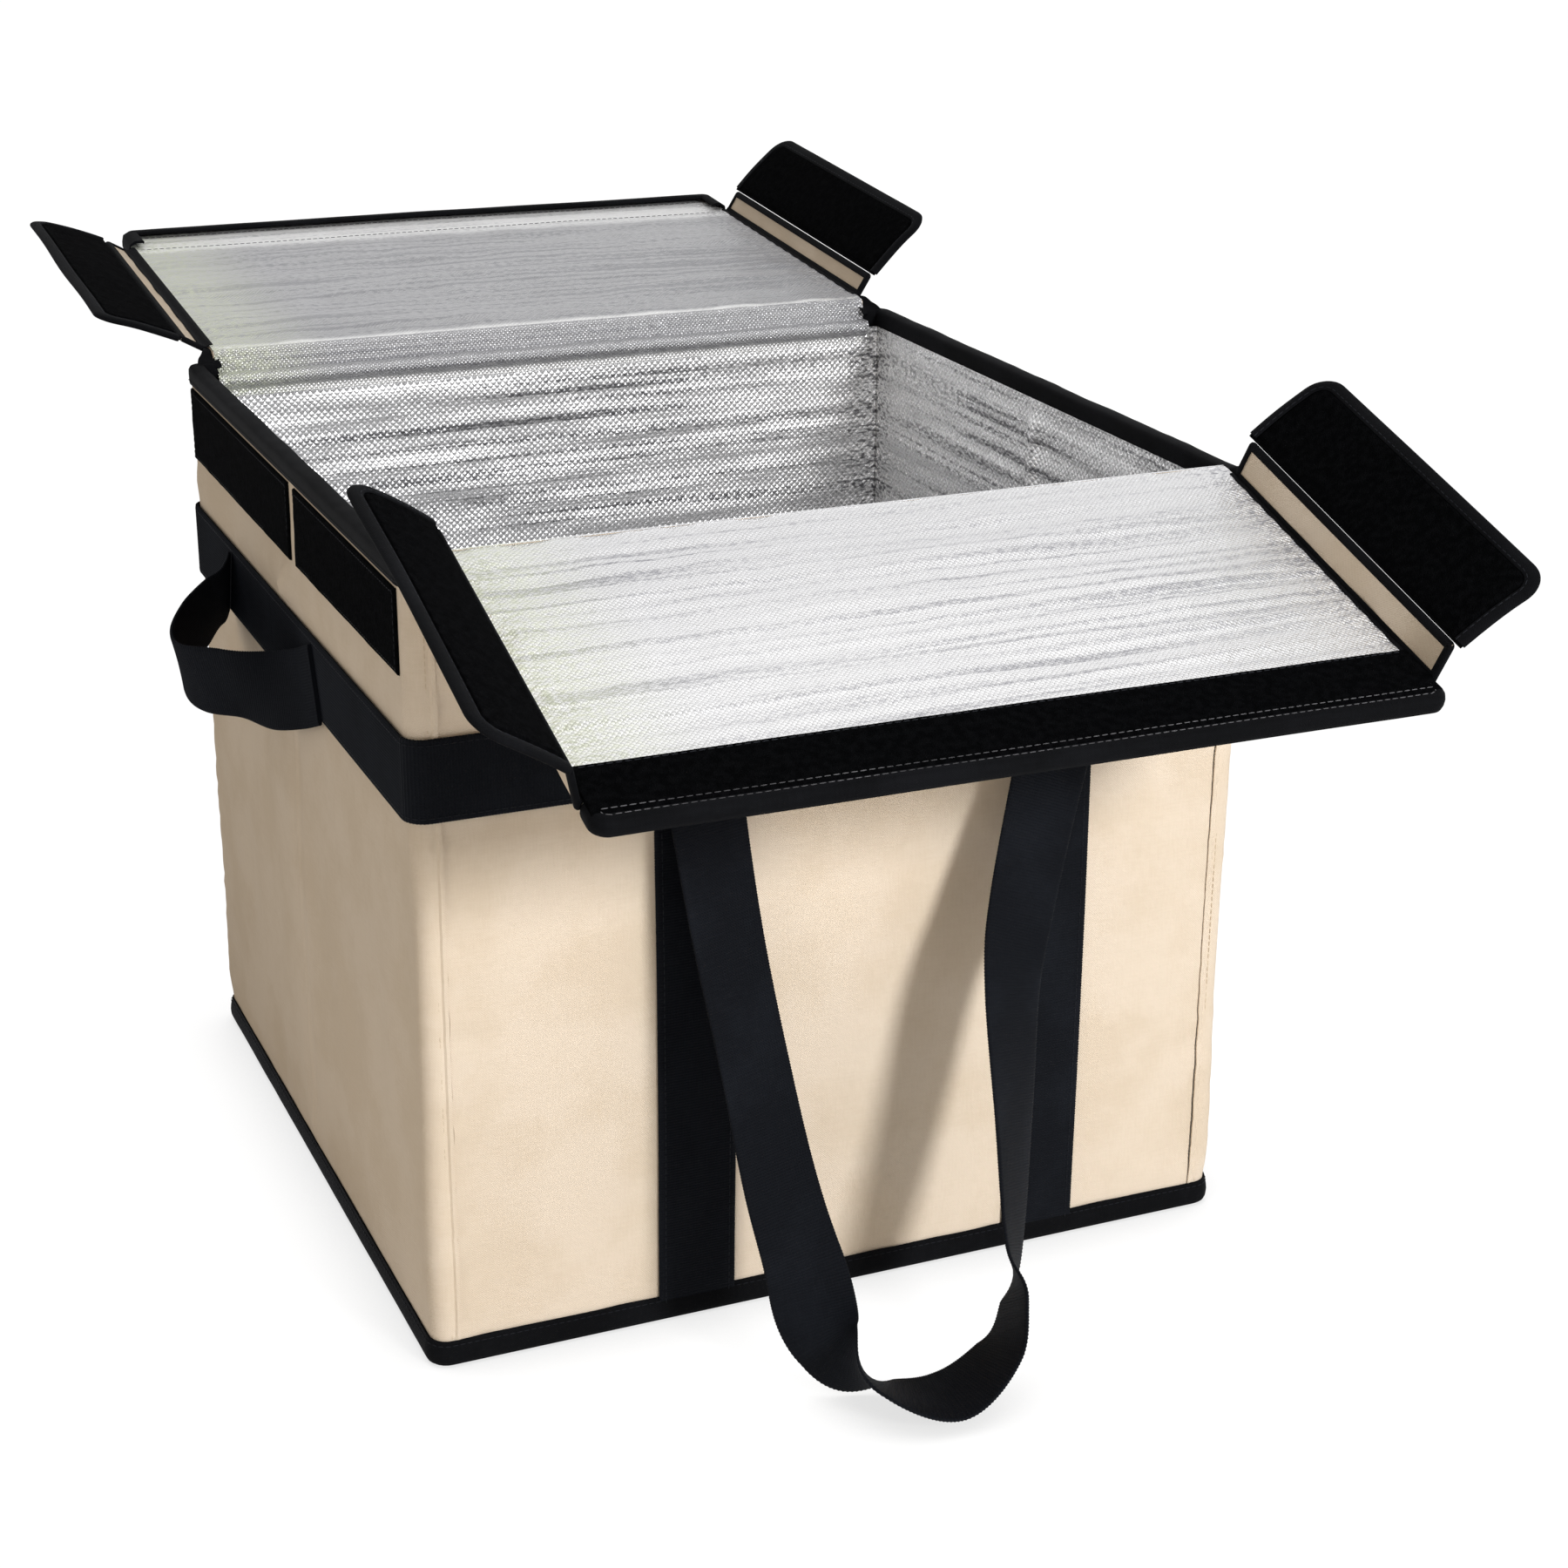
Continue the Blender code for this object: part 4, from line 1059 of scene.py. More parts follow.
@dataclass
class Walls:
    """The outer cloth, the foil lining, the foam between them and the base."""

    shop: Workshop
    cloth: float = 0.8 * MM
    foil: float = 0.6 * MM
    ridge: float = 0.8 * MM
    ridge_width: float = 2.6 * MM
    sink: float = 7.0 * MM
    crease: float = 3.6 * MM

    def __post_init__(self) -> None:
        """Sets the waves of the cloth and of the foil."""
        self.puckers = Ripples(11, 0.35 * MM, 0.030, 0.009, 14, math.pi / 2, 0.9)
        self.drape = Ripples(12, 0.40 * MM, 0.160, 0.035, 14, 0.1, 0.7)
        self.foil_waves = Ripples(13, 0.45 * MM, 0.060, 0.012, 22, 1.3, 1.6)
        self.bands = Ripples(14, 0.32 * MM, 0.026, 0.006, 20, math.pi / 2, 0.12)

    def build(self) -> None:
        """Builds every piece of the walls and the base."""
        half = self.shop.outline.length / 2.0
        for side, turn in (("right", 0.0), ("left", half)):
            self.side_cloth(side, turn)
        for end, turn in (("front", 0.0), ("back", half)):
            self.end_cloth(end, turn)
        self.linings()
        self.foams()
        self.base()
        self.stitch_seams()

    def free(self, run: Array, height: Array) -> Array:
        """Where the cloth is free to ripple: 0 under webbing, patches and bindings, 1 elsewhere."""
        sizes = self.shop.sizes
        span = self.shop.outline.length
        clear = 1.0 - plateau(height, sizes.belt[0], sizes.belt[1], 0.010)
        clear *= 1.0 - smooth_step(0.318, 0.328, height)
        clear *= smooth_step(sizes.hem_top, sizes.hem_top + 0.02, height)
        around = np.mod(run + span / 4.0, span / 2.0) - span / 4.0
        for strap in sizes.straps:
            clear *= 1.0 - plateau(around, strap - 0.019, strap + 0.019, 0.008)
        return clear

    def cloth_grid(self, runs: Array, turn: float, seams: Sequence[float]) -> tuple[Array, Array]:
        """A wall's outer face by running length and height, with ripples that gather at its seams."""
        sizes = self.shop.sizes
        heights = graded(
            sizes.wall_bottom, sizes.wall_top, (sizes.hem_top, sizes.rim_bottom), 0.0016, 0.005, 0.01
        )
        run, height = grid(runs, heights)
        place, normal = self.shop.outline.at(run + turn)
        near = np.min([np.abs(run - seam) for seam in seams], axis=0)
        gather = np.exp(-near / 0.022)
        rise = self.puckers.at(run + turn, height) * gather * 1.3
        swell = self.drape.height + self.drape.at(run + turn, height)
        rise = rise + swell * (2.0 if seams[0] > 0.0 else 0.7)
        rise = np.maximum(rise * self.free(run + turn, height), -0.2 * MM)
        face = place + normal * rise[..., None]
        face[..., 2] = height
        return face, stacked(run, height)

    def side_cloth(self, side: str, turn: float) -> None:
        """A side wall's cloth: it turns both corners and ends in a raised seam on each end face."""
        sizes, outline = self.shop.sizes, self.shop.outline
        low, high = sizes.seam, outline.length / 2.0 - sizes.seam
        middle = (low + high) / 2.0
        corners = (sizes.half_width - sizes.radius, high + sizes.seam - sizes.half_width + sizes.radius)
        runs = graded(low, high, (low, high, *corners, middle), 0.0009, 0.005, 0.012)
        face, flat = self.cloth_grid(runs, turn, (low, high))
        run, height = flat[..., 0], flat[..., 1]
        near = np.minimum(run - low, high - run)
        lift = self.ridge * (1.0 - smooth_step(self.ridge_width * 0.7, self.ridge_width, near))
        lift *= plateau(height, sizes.hem_top + 0.002, sizes.rim_bottom - 0.002, 0.001)
        _, normal = outline.at(run + turn)
        off = np.abs(run - middle)
        pressed = 3.2 * MM * np.exp(-off / 0.016) + 1.2 * MM * bump(off, 0.0, 0.0032)
        lift = lift + pressed * self.free(run + turn, height)
        face = face + normal * lift[..., None]
        shape = sheet(face, flat, self.cloth, (1.0 if side == "right" else -1.0, 0.0, 0.0))
        shape = shape.warped(self.shop.soft)
        make_piece(f"{side}_wall_cloth", shape, self.shop.finishes.canvas, "root", [f"{side}_wall"])

    def end_cloth(self, end: str, turn: float) -> None:
        """The front or back wall's cloth, which ends at the side walls' seams."""
        low, high = self.shop.model.span(f"{end}_wall")
        runs = graded(low[0], high[0], (low[0], high[0]), 0.0012, 0.006, 0.015)
        face, flat = self.cloth_grid(runs, turn, (low[0], high[0]))
        shape = sheet(face, flat, self.cloth, (0.0, -1.0 if end == "front" else 1.0, 0.0))
        shape = shape.warped(self.shop.soft)
        make_piece(f"{end}_wall_cloth", shape, self.shop.finishes.canvas, "root", [f"{end}_wall"])

    def inner_place(self, side: str) -> tuple[Place, float]:
        """The plane of a wall's foil: its axes, looking inwards, and half its width."""
        low, high = self.shop.model.span(f"{side}_liner")
        axis = 1 if side in ("front", "back") else 0
        sign = -1.0 if side in ("front", "left") else 1.0
        level, out = (low if sign > 0.0 else high)[axis], np.eye(3)[axis]
        return axes(level * out, np.eye(3)[1 - axis], (0, 0, 1), -sign * out), high[1 - axis]

    def linings(self) -> None:
        """The foil on each wall's inside, with waves that fade at its edges and a fold in the side walls."""
        for seed, side in enumerate(("front", "right", "back", "left")):
            place, half = self.inner_place(side)
            low, high = self.shop.model.span(f"{side}_liner")
            high[2] -= self.sink if side == "back" else 0.0
            across, along = grid(
                graded(-half, half, (-half, half), 0.0015, 0.0036, 0.01), evenly(low[2], high[2], 0.0018)
            )
            near = np.minimum(half - np.abs(across), high[2] - along)
            fade = smooth_step(0.0, 0.02, near)
            waves = self.foil_waves.at(across + 0.7 * seed, along - 0.4 * seed) * fade
            waves = waves + self.bands.at(across, along + 0.3 * seed) * fade
            gather = np.exp(-(half - np.abs(across)) / 0.016) * np.sin(2 * math.pi * along / 0.017)
            inset = 0.6 * MM * fade + waves + 0.5 * MM * gather * smooth_step(0.0, 0.006, near)
            if side in ("left", "right"):
                high_up = smooth_step(0.0, 0.03, high[2] - along)
                valley = self.crease * bump(across, 0.0, 0.0055) - 1.2 * MM * bump(across, 0.012, 0.006)
                inset = inset + high_up * valley
            face = stacked(across, along, np.maximum(inset, 0.0))
            shape = sheet(face, face[..., :2], self.foil, (0, 0, 1))
            shape = shape.warped(place.world).warped(self.shop.soft)
            make_piece(f"{side}_lining", shape, self.shop.finishes.wall_foil, "root", [f"{side}_liner"])

    def foams(self) -> None:
        """The foam sheets between cloth and foil, each a thin pad with soft edges."""
        for side in ("front", "back", "left_front", "left_rear", "right_front", "right_rear"):
            low, high = self.shop.model.span(f"{side}_foam")
            high[2] -= self.sink if side == "back" else 0.0
            axis = 1 if side in ("front", "back") else 0
            order, out = [1 - axis, 2, axis], np.eye(3)[axis]
            place = axes(low[axis] * out, np.eye(3)[1 - axis], (0, 0, 1), out)
            shape = rounded_pad(low[order] * (1, 1, 0), high[order] - (0, 0, low[axis]), 0.02, 0.002)
            shape = shape.warped(place.world).warped(self.shop.soft)
            pad = make_piece(f"{side}_padding", shape, self.shop.finishes.foam, "root", [f"{side}_foam"])

    def base(self) -> None:
        """The base: its outer panel, its foam and its foil."""
        finishes = self.shop.finishes
        low, high = self.shop.model.span("base_liner")
        across, along = grid(evenly(low[0], high[0], 0.004), evenly(low[1], high[1], 0.004))
        near = np.minimum(high[0] - np.abs(across), high[1] - np.abs(along))
        waves = self.foil_waves.at(across, along + 1.0) + 0.6 * MM
        face = stacked(across, along, high[2] + np.maximum(waves, 0.0) * smooth_step(0.0, 0.02, near))
        shape = sheet(face, face[..., :2], self.foil, (0, 0, 1))
        make_piece("base_lining", shape, finishes.wall_foil, "root", ["base_liner"])
        low, high = self.shop.model.span("base_foam")
        shape = rounded_pad(low, high, 0.02, 0.002)
        pad = make_piece("base_padding", shape, finishes.foam, "root", ["base_foam"])
        low, high = self.shop.model.span("base_board")
        shape = rounded_pad(low, high, 0.02, 0.5 * MM)
        make_piece("base_stiffener", shape, finishes.board, "root", ["base_board"])
        low, high = self.shop.model.span("base_panel")
        across, along = grid(evenly(low[0], high[0], 0.006), evenly(low[1], high[1], 0.006))
        face = stacked(across, along, low[2] + 0.0 * across)
        shape = sheet(face, face[..., :2], high[2] - low[2], (0, 0, -1))
        make_piece("base_cloth", shape, finishes.canvas, "root", ["base_panel"])

    def stitch_seams(self) -> None:
        """A row of stitches beside each raised seam."""
        sizes, outline = self.shop.sizes, self.shop.outline
        heights = evenly(sizes.hem_top + 0.004, sizes.rim_bottom - 0.003, 0.002)
        rows = []
        for turn in (0.0, outline.length / 2.0):
            for run in (sizes.seam + 4.2 * MM, -sizes.seam - 4.2 * MM):
                place, normal = outline.at(np.full(heights.shape, run + turn))
                place = place + UP * heights[:, None]
                for part in (heights < sizes.belt[0] - 0.002, heights > sizes.belt[1] + 0.002):
                    rows.append(thread(place[part], normal[part], *SEAM_STITCH))
        make_piece(
            "seam_stitches", joined(rows).warped(self.shop.soft), self.shop.finishes.cream_thread, "root"
        )


# Bindings and patches


@dataclass
class Trims:
    """The rim binding, the hem binding and the loop patches."""

    shop: Workshop
    tape: float = 0.9 * MM
    dip: float = 1.0 * MM
    sink: float = 5.6 * MM

    def build(self) -> None:
        """Builds the bindings and the patches."""
        self.rim()
        self.hem()
        self.patches()

    def ring(self, name: str, chains: Array, rows: Sequence[tuple[float, float]], node: str) -> None:
        """A band carried round the bag, with rows of stitches at given (outward, up) places."""
        outline = self.shop.outline
        count = len(chains)
        runs = np.arange(count) * outline.length / count
        place, normal = outline.at(runs)
        up = np.tile(UP, (count, 1))
        profile = np.stack([folded_band(chain, self.tape) for chain in chains])
        shape = swept(place, normal, up, profile, ring=True)
        shape = shape.warped(self.shop.soft)
        make_piece(name, shape, self.shop.finishes.binding, "root", [node])
        lines = []
        for out, height in rows:
            line = place + normal * out + up * height
            line = np.concatenate([line, line[:1]])
            lines.append(thread(line, np.concatenate([normal, normal[:1]]), *TAPE_STITCH))
        make_piece(f"{name}_stitches", joined(lines), self.shop.finishes.dark_thread, "root")

    def rim(self) -> None:
        """The rim binding: a fold over the top of the walls, pressed down where the lids' foil passes."""
        sizes, outline = self.shop.sizes, self.shop.outline
        top, bottom = sizes.height - 0.45 * MM, sizes.rim_bottom
        inside = -(sizes.half_width - sizes.lining) - 0.7 * MM
        ups = np.array([bottom, bottom + 0.002, top - 0.0035, top - 0.0014, top - 0.0003, top])
        outs = np.array([0.72, 0.85, 0.95, 0.85, 0.25, -2.4]) * MM
        chain = np.concatenate([stacked(outs, ups), stacked(inside - outs[::-1] + 0.4 * MM, ups[::-1])])
        count = 720
        runs = np.arange(count) * outline.length / count
        place, _ = outline.at(runs)
        on_end = smooth_step(0.97, 0.99, np.abs(place[:, 1]) / sizes.half_depth)
        covered = on_end * (1.0 - smooth_step(0.1865, 0.1905, np.abs(place[:, 0])))
        waves = Ripples(31, 0.18 * MM, 0.06, 0.014).at(runs, runs * 0.0)
        chains = np.tile(chain, (count, 1, 1))
        high = smooth_step(bottom + 0.002, top, chains[..., 1])
        chains[..., 1] -= high * (covered * self.dip - waves)[:, None]
        inner_leg = 1.0 - smooth_step(-5.0 * MM, -3.0 * MM, chains[..., 0])
        chains[..., 0] += 0.9 * MM * covered[:, None] * inner_leg
        sunk = (covered * (place[:, 1] > 0.0) * self.sink)[:, None]
        chains[..., 1] -= sunk * high * (1.0 - smooth_step(-3.6 * MM, -2.6 * MM, chains[..., 0]))
        self.ring("rim_band", chains, ((1.45 * MM, bottom + 0.0018),), "rim_binding")

    def hem(self) -> None:
        """The hem binding: up the walls' foot and under their lower edge."""
        sizes = self.shop.sizes
        count = 720
        top = sizes.hem_top + 2.2 * MM
        ups = np.array([top, 0.0112, 0.0085, 0.0058, 0.0033, 0.0016, 0.0007, 0.00045, 0.00045, 0.00045])
        outs = np.array([0.70, 1.15, 1.75, 2.05, 1.85, 1.15, 0.0, -1.6, -4.0, -7.0]) * MM
        chains = np.tile(stacked(outs, ups), (count, 1, 1))
        runs = np.arange(count) * self.shop.outline.length / count
        waves = Ripples(32, 0.22 * MM, 0.05, 0.012).at(runs, runs * 0.0)
        chains[..., 0] += waves[:, None] * smooth_step(0.0, 0.006, chains[..., 1]) * 0.6
        chains[:, 0, 1] += waves * 1.2
        self.ring("hem_band", chains, ((1.75 * MM, sizes.hem_top + 0.2 * MM),), "base_binding")

    def patches(self) -> None:
        """The loop patches under the rim, each a low pad with a stitched edge."""
        pile = Ripples(41, 0.12 * MM, 0.02, 0.004)
        for side, sign in (("left", -1.0), ("right", 1.0)):
            for part in ("front", "rear"):
                node = f"{side}_{part}_loop_patch"
                low, high = self.shop.model.span(node)
                base = low[0] if sign > 0 else high[0]
                place = axes((base, 0, 0), (0, 1, 0), (0, 0, 1), (sign, 0, 0))
                corners = (
                    np.array([low[1], low[2], -0.2 * MM]), np.array([high[1], high[2], high[0] - low[0]])
                )
                shape = rounded_pad(corners[0], corners[1], 0.004, 0.0012, pile.at)
                shape = shape.warped(place.world).warped(self.shop.soft)
                make_piece(f"{side}_{part}_patch", shape, self.shop.finishes.loop, "root", [node])
                inset = 2.2 * MM
                loop = np.array(
                    [
                        [low[1] + inset, low[2] + inset],
                        [high[1] - inset, low[2] + inset],
                        [high[1] - inset, high[2] - inset],
                        [low[1] + inset, high[2] - inset],
                        [low[1] + inset, low[2] + inset],
                    ]
                )
                path = resampled(np.concatenate([loop, np.full((5, 1), corners[1][2])], axis=1), 0.001)
                facing = np.tile(UP, (len(path), 1))
                row = thread(path, facing, *TAPE_STITCH).warped(place.world)
                make_piece(f"{side}_{part}_patch_stitches", row, self.shop.finishes.dark_thread, "root")


# Webbing


@dataclass(frozen=True)
class Webbing:
    """Ribbed webbing: its width and thickness, the pitch of its ribs and how far they stand out."""

    width: float = 38.0 * MM
    thickness: float = 1.8 * MM
    rib: float = 1.35 * MM
    rise: float = 0.19
    nibble: float = 0.007

    def along(self, path: Array, across: Array, out: Array) -> Shape:
        """Webbing along a path.

        The section is a flat oblong with round edges. From ring to ring it swells as a cosine, three rings
        to a rib, and its edges go in and out a little with it.

        Args:
            path: the centreline, three points to a rib.
            across: direction of the webbing's width at each point.
            out: direction of its face at each point.

        Returns:
            The closed band.
        """
        shares = np.array([-1.0, -0.975, -0.9, -0.45, 0.0, 0.45, 0.9, 0.975, 1.0])
        heights = np.array([0.2, 0.8, 1.0, 0.97, 0.97, 0.97, 1.0, 0.8, 0.2])
        phase = np.cos(np.arange(len(path)) * 2.0 * math.pi / 3.0)[:, None]
        wide = shares[None] * self.width / 2.0 * (1.0 + self.nibble * phase)
        thick = heights[None] * self.thickness / 2.0 * (1.0 + self.rise * phase)
        upper = stacked(wide, thick)
        lower = stacked(wide[:, ::-1], -thick[:, ::-1])
        return swept(path, across, out, np.concatenate([upper, lower], axis=1))

    def pitch(self) -> float:
        """Distance between rings: a third of a rib."""
        return self.rib / 3.0

    def edge_rows(self, path: Array, across: Array, out: Array, inset: float) -> list[Shape]:
        """Two rows of stitches, inset from the webbing's edges, on its outer face."""
        lift = out * self.thickness / 2.0
        reach = self.width / 2.0 - inset
        return [thread(path + across * sign * reach + lift, out, *BELT_STITCH) for sign in (-1.0, 1.0)]

    def box_rows(self, middle: Array, across: Array, along: Array, out: Array, half: float) -> list[Shape]:
        """A sewn square with a cross in it, on the webbing's outer face."""
        corners = np.array([[-1, -1], [1, -1], [1, 1], [-1, 1], [-1, -1], [1, 1]], float) * half
        second = np.array([[-1, 1], [1, -1]], float) * half
        rows = []
        for line in (corners, second):
            points = middle + line[:, :1] * across + line[:, 1:] * along + out * self.thickness / 2.0
            dense = resampled(points, 0.0008)
            rows.append(thread(dense, np.tile(out, (len(dense), 1)), *BOX_STITCH))
        return rows


@dataclass
class Straps:
    """The webbing sewn on the walls: four straps and the belt in two lengths."""

    shop: Workshop
    webbing: Webbing = field(default_factory=Webbing)
    bend: float = 1.5 * MM

    def build(self) -> None:
        """Builds the straps and the belt."""
        for strap in ("front_left_strap", "front_right_strap", "back_left_strap", "back_right_strap"):
            self.strap(strap)
        self.belts()

    def strap(self, node: str) -> None:
        """A strap: up the wall, then out over the belt's upper edge on a small arc."""
        low, high = self.shop.model.span(node)
        sign = -1.0 if node.startswith("front") else 1.0
        wall = self.shop.sizes.half_depth + 0.3 * MM + self.webbing.thickness / 2.0
        top = self.shop.sizes.strap_top - self.webbing.thickness / 2.0
        tip = max(abs(low[1]), abs(high[1]))
        turn = np.linspace(0.0, math.pi / 2.0, 7)
        outs = np.concatenate([[wall], wall + self.bend * (1.0 - np.cos(turn)), [tip]])
        ups = np.concatenate([[low[2]], top - self.bend * (1.0 - np.sin(turn)), [top]])
        line = resampled(stacked(outs, ups, outs * 0.0), self.webbing.pitch())
        middle = (low[0] + high[0]) / 2.0
        path = stacked(middle, sign * line[:, 0], line[:, 1])
        ahead = unit(np.gradient(path, axis=0))
        across = np.tile([1.0, 0.0, 0.0], (len(path), 1))
        out = np.cross(across, ahead) * (1.0 if sign < 0 else -1.0)
        shape = self.webbing.along(path, across, out).warped(self.shop.soft)
        make_piece(f"{node}_webbing", shape, self.shop.finishes.webbing, "root", [node])
        sewn = path[:, 2] < self.shop.sizes.belt[0] - 0.003
        rows = self.webbing.edge_rows(path[sewn], across[sewn], out[sewn], 3.2 * MM)
        make_piece(
            f"{node}_stitches", joined(rows).warped(self.shop.soft), self.shop.finishes.dark_thread, "root"
        )

    def belts(self) -> None:
        """The belt: level round the bag and out over each strap; each half ends under a handle."""
        sizes, outline = self.shop.sizes, self.shop.outline
        low, high = self.shop.model.span("front_belt")
        level = high[0] - sizes.half_width - self.webbing.thickness / 2.0
        over = -low[1] - sizes.half_depth - self.webbing.thickness / 2.0
        corner = sizes.half_width - sizes.radius + math.pi / 2.0 * sizes.radius
        ends = []
        for reach in (high[1], -self.shop.model.span("back_belt")[0][1]):
            ends.append(corner + reach + sizes.half_depth - sizes.radius)
        middle = (sizes.belt[0] + sizes.belt[1]) / 2.0
        for end, turn in (("front", 0.0), ("back", outline.length / 2.0)):
            runs = evenly(-ends[0], 2.0 * corner + 2.0 * (sizes.half_depth - sizes.radius) - ends[0], 0.0004)
            runs = runs[runs < outline.length / 2.0 - ends[0]]
            runs = evenly(float(runs[0]), float(runs[-1]), self.webbing.pitch())
            place, normal = outline.at(runs + turn)
            step = np.zeros_like(runs)
            for strap in sizes.straps:
                step = np.maximum(step, plateau(runs, strap - 0.0193, strap + 0.0193, 0.004))
            path = place + normal * (level + (over - level) * step)[:, None]
            path[:, 2] = middle
            ahead = unit(np.gradient(path, axis=0))
            across = np.tile(UP, (len(path), 1))
            out = np.cross(ahead, across)
            shape = self.webbing.along(path, across, out).warped(self.shop.soft)
            make_piece(f"{end}_belt_webbing", shape, self.shop.finishes.webbing, "root", [f"{end}_belt"])
            rows = self.webbing.edge_rows(path, across, out, 2.6 * MM)
            for strap in sizes.straps:
                k = int(np.argmin(np.abs(runs - strap)))
                rows += self.webbing.box_rows(path[k], ahead[k], across[k], out[k], 14.0 * MM)
            make_piece(f"{end}_belt_stitches", joined(rows), self.shop.finishes.dark_thread, "root")


@dataclass
class LoopHandle:
    """A front or back handle: from both strap folds it hangs to the floor and turns half over.

    Each row of the route gives shares of the way between the straps, of the reach and of the drop, and
    the webbing's turn in degrees.
    """

    shop: Workshop
    webbing: Webbing = field(default_factory=Webbing)
    drop: float = 301.5 * MM
    reach: float = 116.0 * MM
    route: tuple[tuple[float, float, float, float], ...] = (
        (0.000, 0.000, 0.000, 0),
        (0.000, 0.012, 0.030, 0),
        (0.000, 0.034, 0.083, -3),
        (0.011, 0.078, 0.190, -10),
        (0.035, 0.179, 0.360, -15),
        (0.069, 0.290, 0.529, -17),
        (0.105, 0.425, 0.713, -10),
        (0.138, 0.557, 0.837, 3),
        (0.164, 0.709, 0.942, 54),
        (0.261, 0.926, 0.982, 72),
        (0.409, 1.000, 1.000, 88),
        (0.559, 0.956, 0.953, 106),
        (0.628, 0.859, 0.896, 107),
        (0.666, 0.730, 0.820, 128),
        (0.714, 0.550, 0.644, 142),
        (0.755, 0.384, 0.467, 157),
        (0.814, 0.268, 0.360, 168),
        (0.919, 0.129, 0.195, 175),
        (1.000, 0.034, 0.083, 180),
        (1.000, 0.012, 0.030, 180),
        (1.000, 0.000, 0.000, 180),
    )

    def build(self) -> None:
        """Builds the front handle, and the back one as the front one turned half round."""
        first, last = self.shop.sizes.straps
        rows = np.array(self.route)
        route = stacked(
            (last - first) * rows[:, 0],
            -self.reach * rows[:, 1],
            -self.drop * rows[:, 2],
            np.radians(rows[:, 3]),
        )
        route = resampled(smooth_route(route), self.webbing.pitch())
        path, turn = route[:, :3], route[:, 3]
        ahead = unit(np.gradient(path, axis=0))
        level = stacked(np.cos(turn), -np.sin(turn), 0.0)
        across = unit(level - ahead * (ahead * level).sum(-1, keepdims=True))
        out = np.cross(ahead, across)
        for end, sign in (("front", 1.0), ("back", -1.0)):
            hinge, _ = self.shop.model.hinge(f"{end}_handle_swing")
            spin = np.array([sign, sign, 1.0])
            fold = np.array([sign * first, hinge[1], hinge[2]])
            shape = self.webbing.along(path * spin + fold, across * spin, out * spin)
            body = f"{end}_handle"
            make_piece(f"{body}_webbing", shape, self.shop.finishes.webbing, body, [body])


@dataclass
class SideHandle:
    """A side handle: sewn flat on the belt at both ends, bulging and sagging between them."""

    shop: Workshop
    webbing: Webbing = field(default_factory=Webbing)
    span: float = 176.0 * MM
    reach: float = 42.0 * MM
    sag: float = 16.0 * MM
    below: float = 19.3 * MM
    route: tuple[tuple[float, float, float, float], ...] = (
        (0.000, 0.000, 0.000, 0),
        (0.114, 0.085, 0.500, 1),
        (0.224, 0.310, 0.856, -1),
        (0.335, 0.650, 0.900, -16),
        (0.444, 0.974, 1.000, -17),
        (0.592, 0.990, 0.975, -9),
        (0.741, 0.776, 0.744, -2),
        (0.877, 0.379, 0.469, -1),
        (0.949, 0.110, 0.190, 0),
        (1.000, 0.000, 0.000, 0),
    )

    def build(self) -> None:
        """Builds the right handle, and the left one as the right one turned half round."""
        rows = np.array(self.route)
        route = stacked(
            self.reach * rows[:, 1],
            self.span * (0.5 - rows[:, 0]),
            -self.below - self.sag * rows[:, 2],
            np.radians(rows[:, 3]),
        )
        route = resampled(smooth_route(route), self.webbing.pitch())
        path, tilt = route[:, :3], route[:, 3:]
        ahead = unit(np.gradient(path, axis=0))
        upright = unit(np.cross(ahead, RIGHT))
        across = upright * np.cos(tilt) + np.cross(ahead, upright) * np.sin(tilt)
        out = np.cross(ahead, across)
        for side, sign in (("right", 1.0), ("left", -1.0)):
            hinge, _ = self.shop.model.hinge(f"{side}_handle_lift")
            spin = np.array([sign, sign, 1.0])
            shape = self.webbing.along(path * spin + hinge, across * spin, out * spin)
            body = f"{side}_handle"
            make_piece(f"{body}_webbing", shape, self.shop.finishes.webbing, body, [body])


# Lids and tabs


def three_sides(
    inner: float, outer: float, near: float, far: float, radius: float, pitch: float
) -> tuple[Array, Array]:
    """The path round a flap's three free sides, with round outer corners, and its outward normals.

    Args:
        inner: where the path starts and ends, measured out from the flap's fold.
        outer: the flap's outer edge.
        near: the flap's first side.
        far: the flap's last side.
        radius: radius of the two corners.
        pitch: distance between points.

    Returns:
        Points as (out, along), and normals in the same two directions.
    """
    turn = np.linspace(0.0, math.pi / 2.0, 13)
    first = stacked(outer - radius + radius * np.sin(turn), near + radius - radius * np.cos(turn))
    last = stacked(outer - radius + radius * np.cos(turn), far - radius + radius * np.sin(turn))
    points = np.concatenate([[[inner, near]], first, last, [[inner, far]]])
    first, second = stacked(np.sin(turn), -np.cos(turn)), stacked(np.cos(turn), np.sin(turn))
    normals = np.concatenate([[[0.0, -1.0]], first, second, [[0.0, 1.0]]])
    path = resampled(np.concatenate([points, points[:, :1] * 0.0, normals], axis=1), pitch)
    return path[:, :2], unit(path[:, 3:])


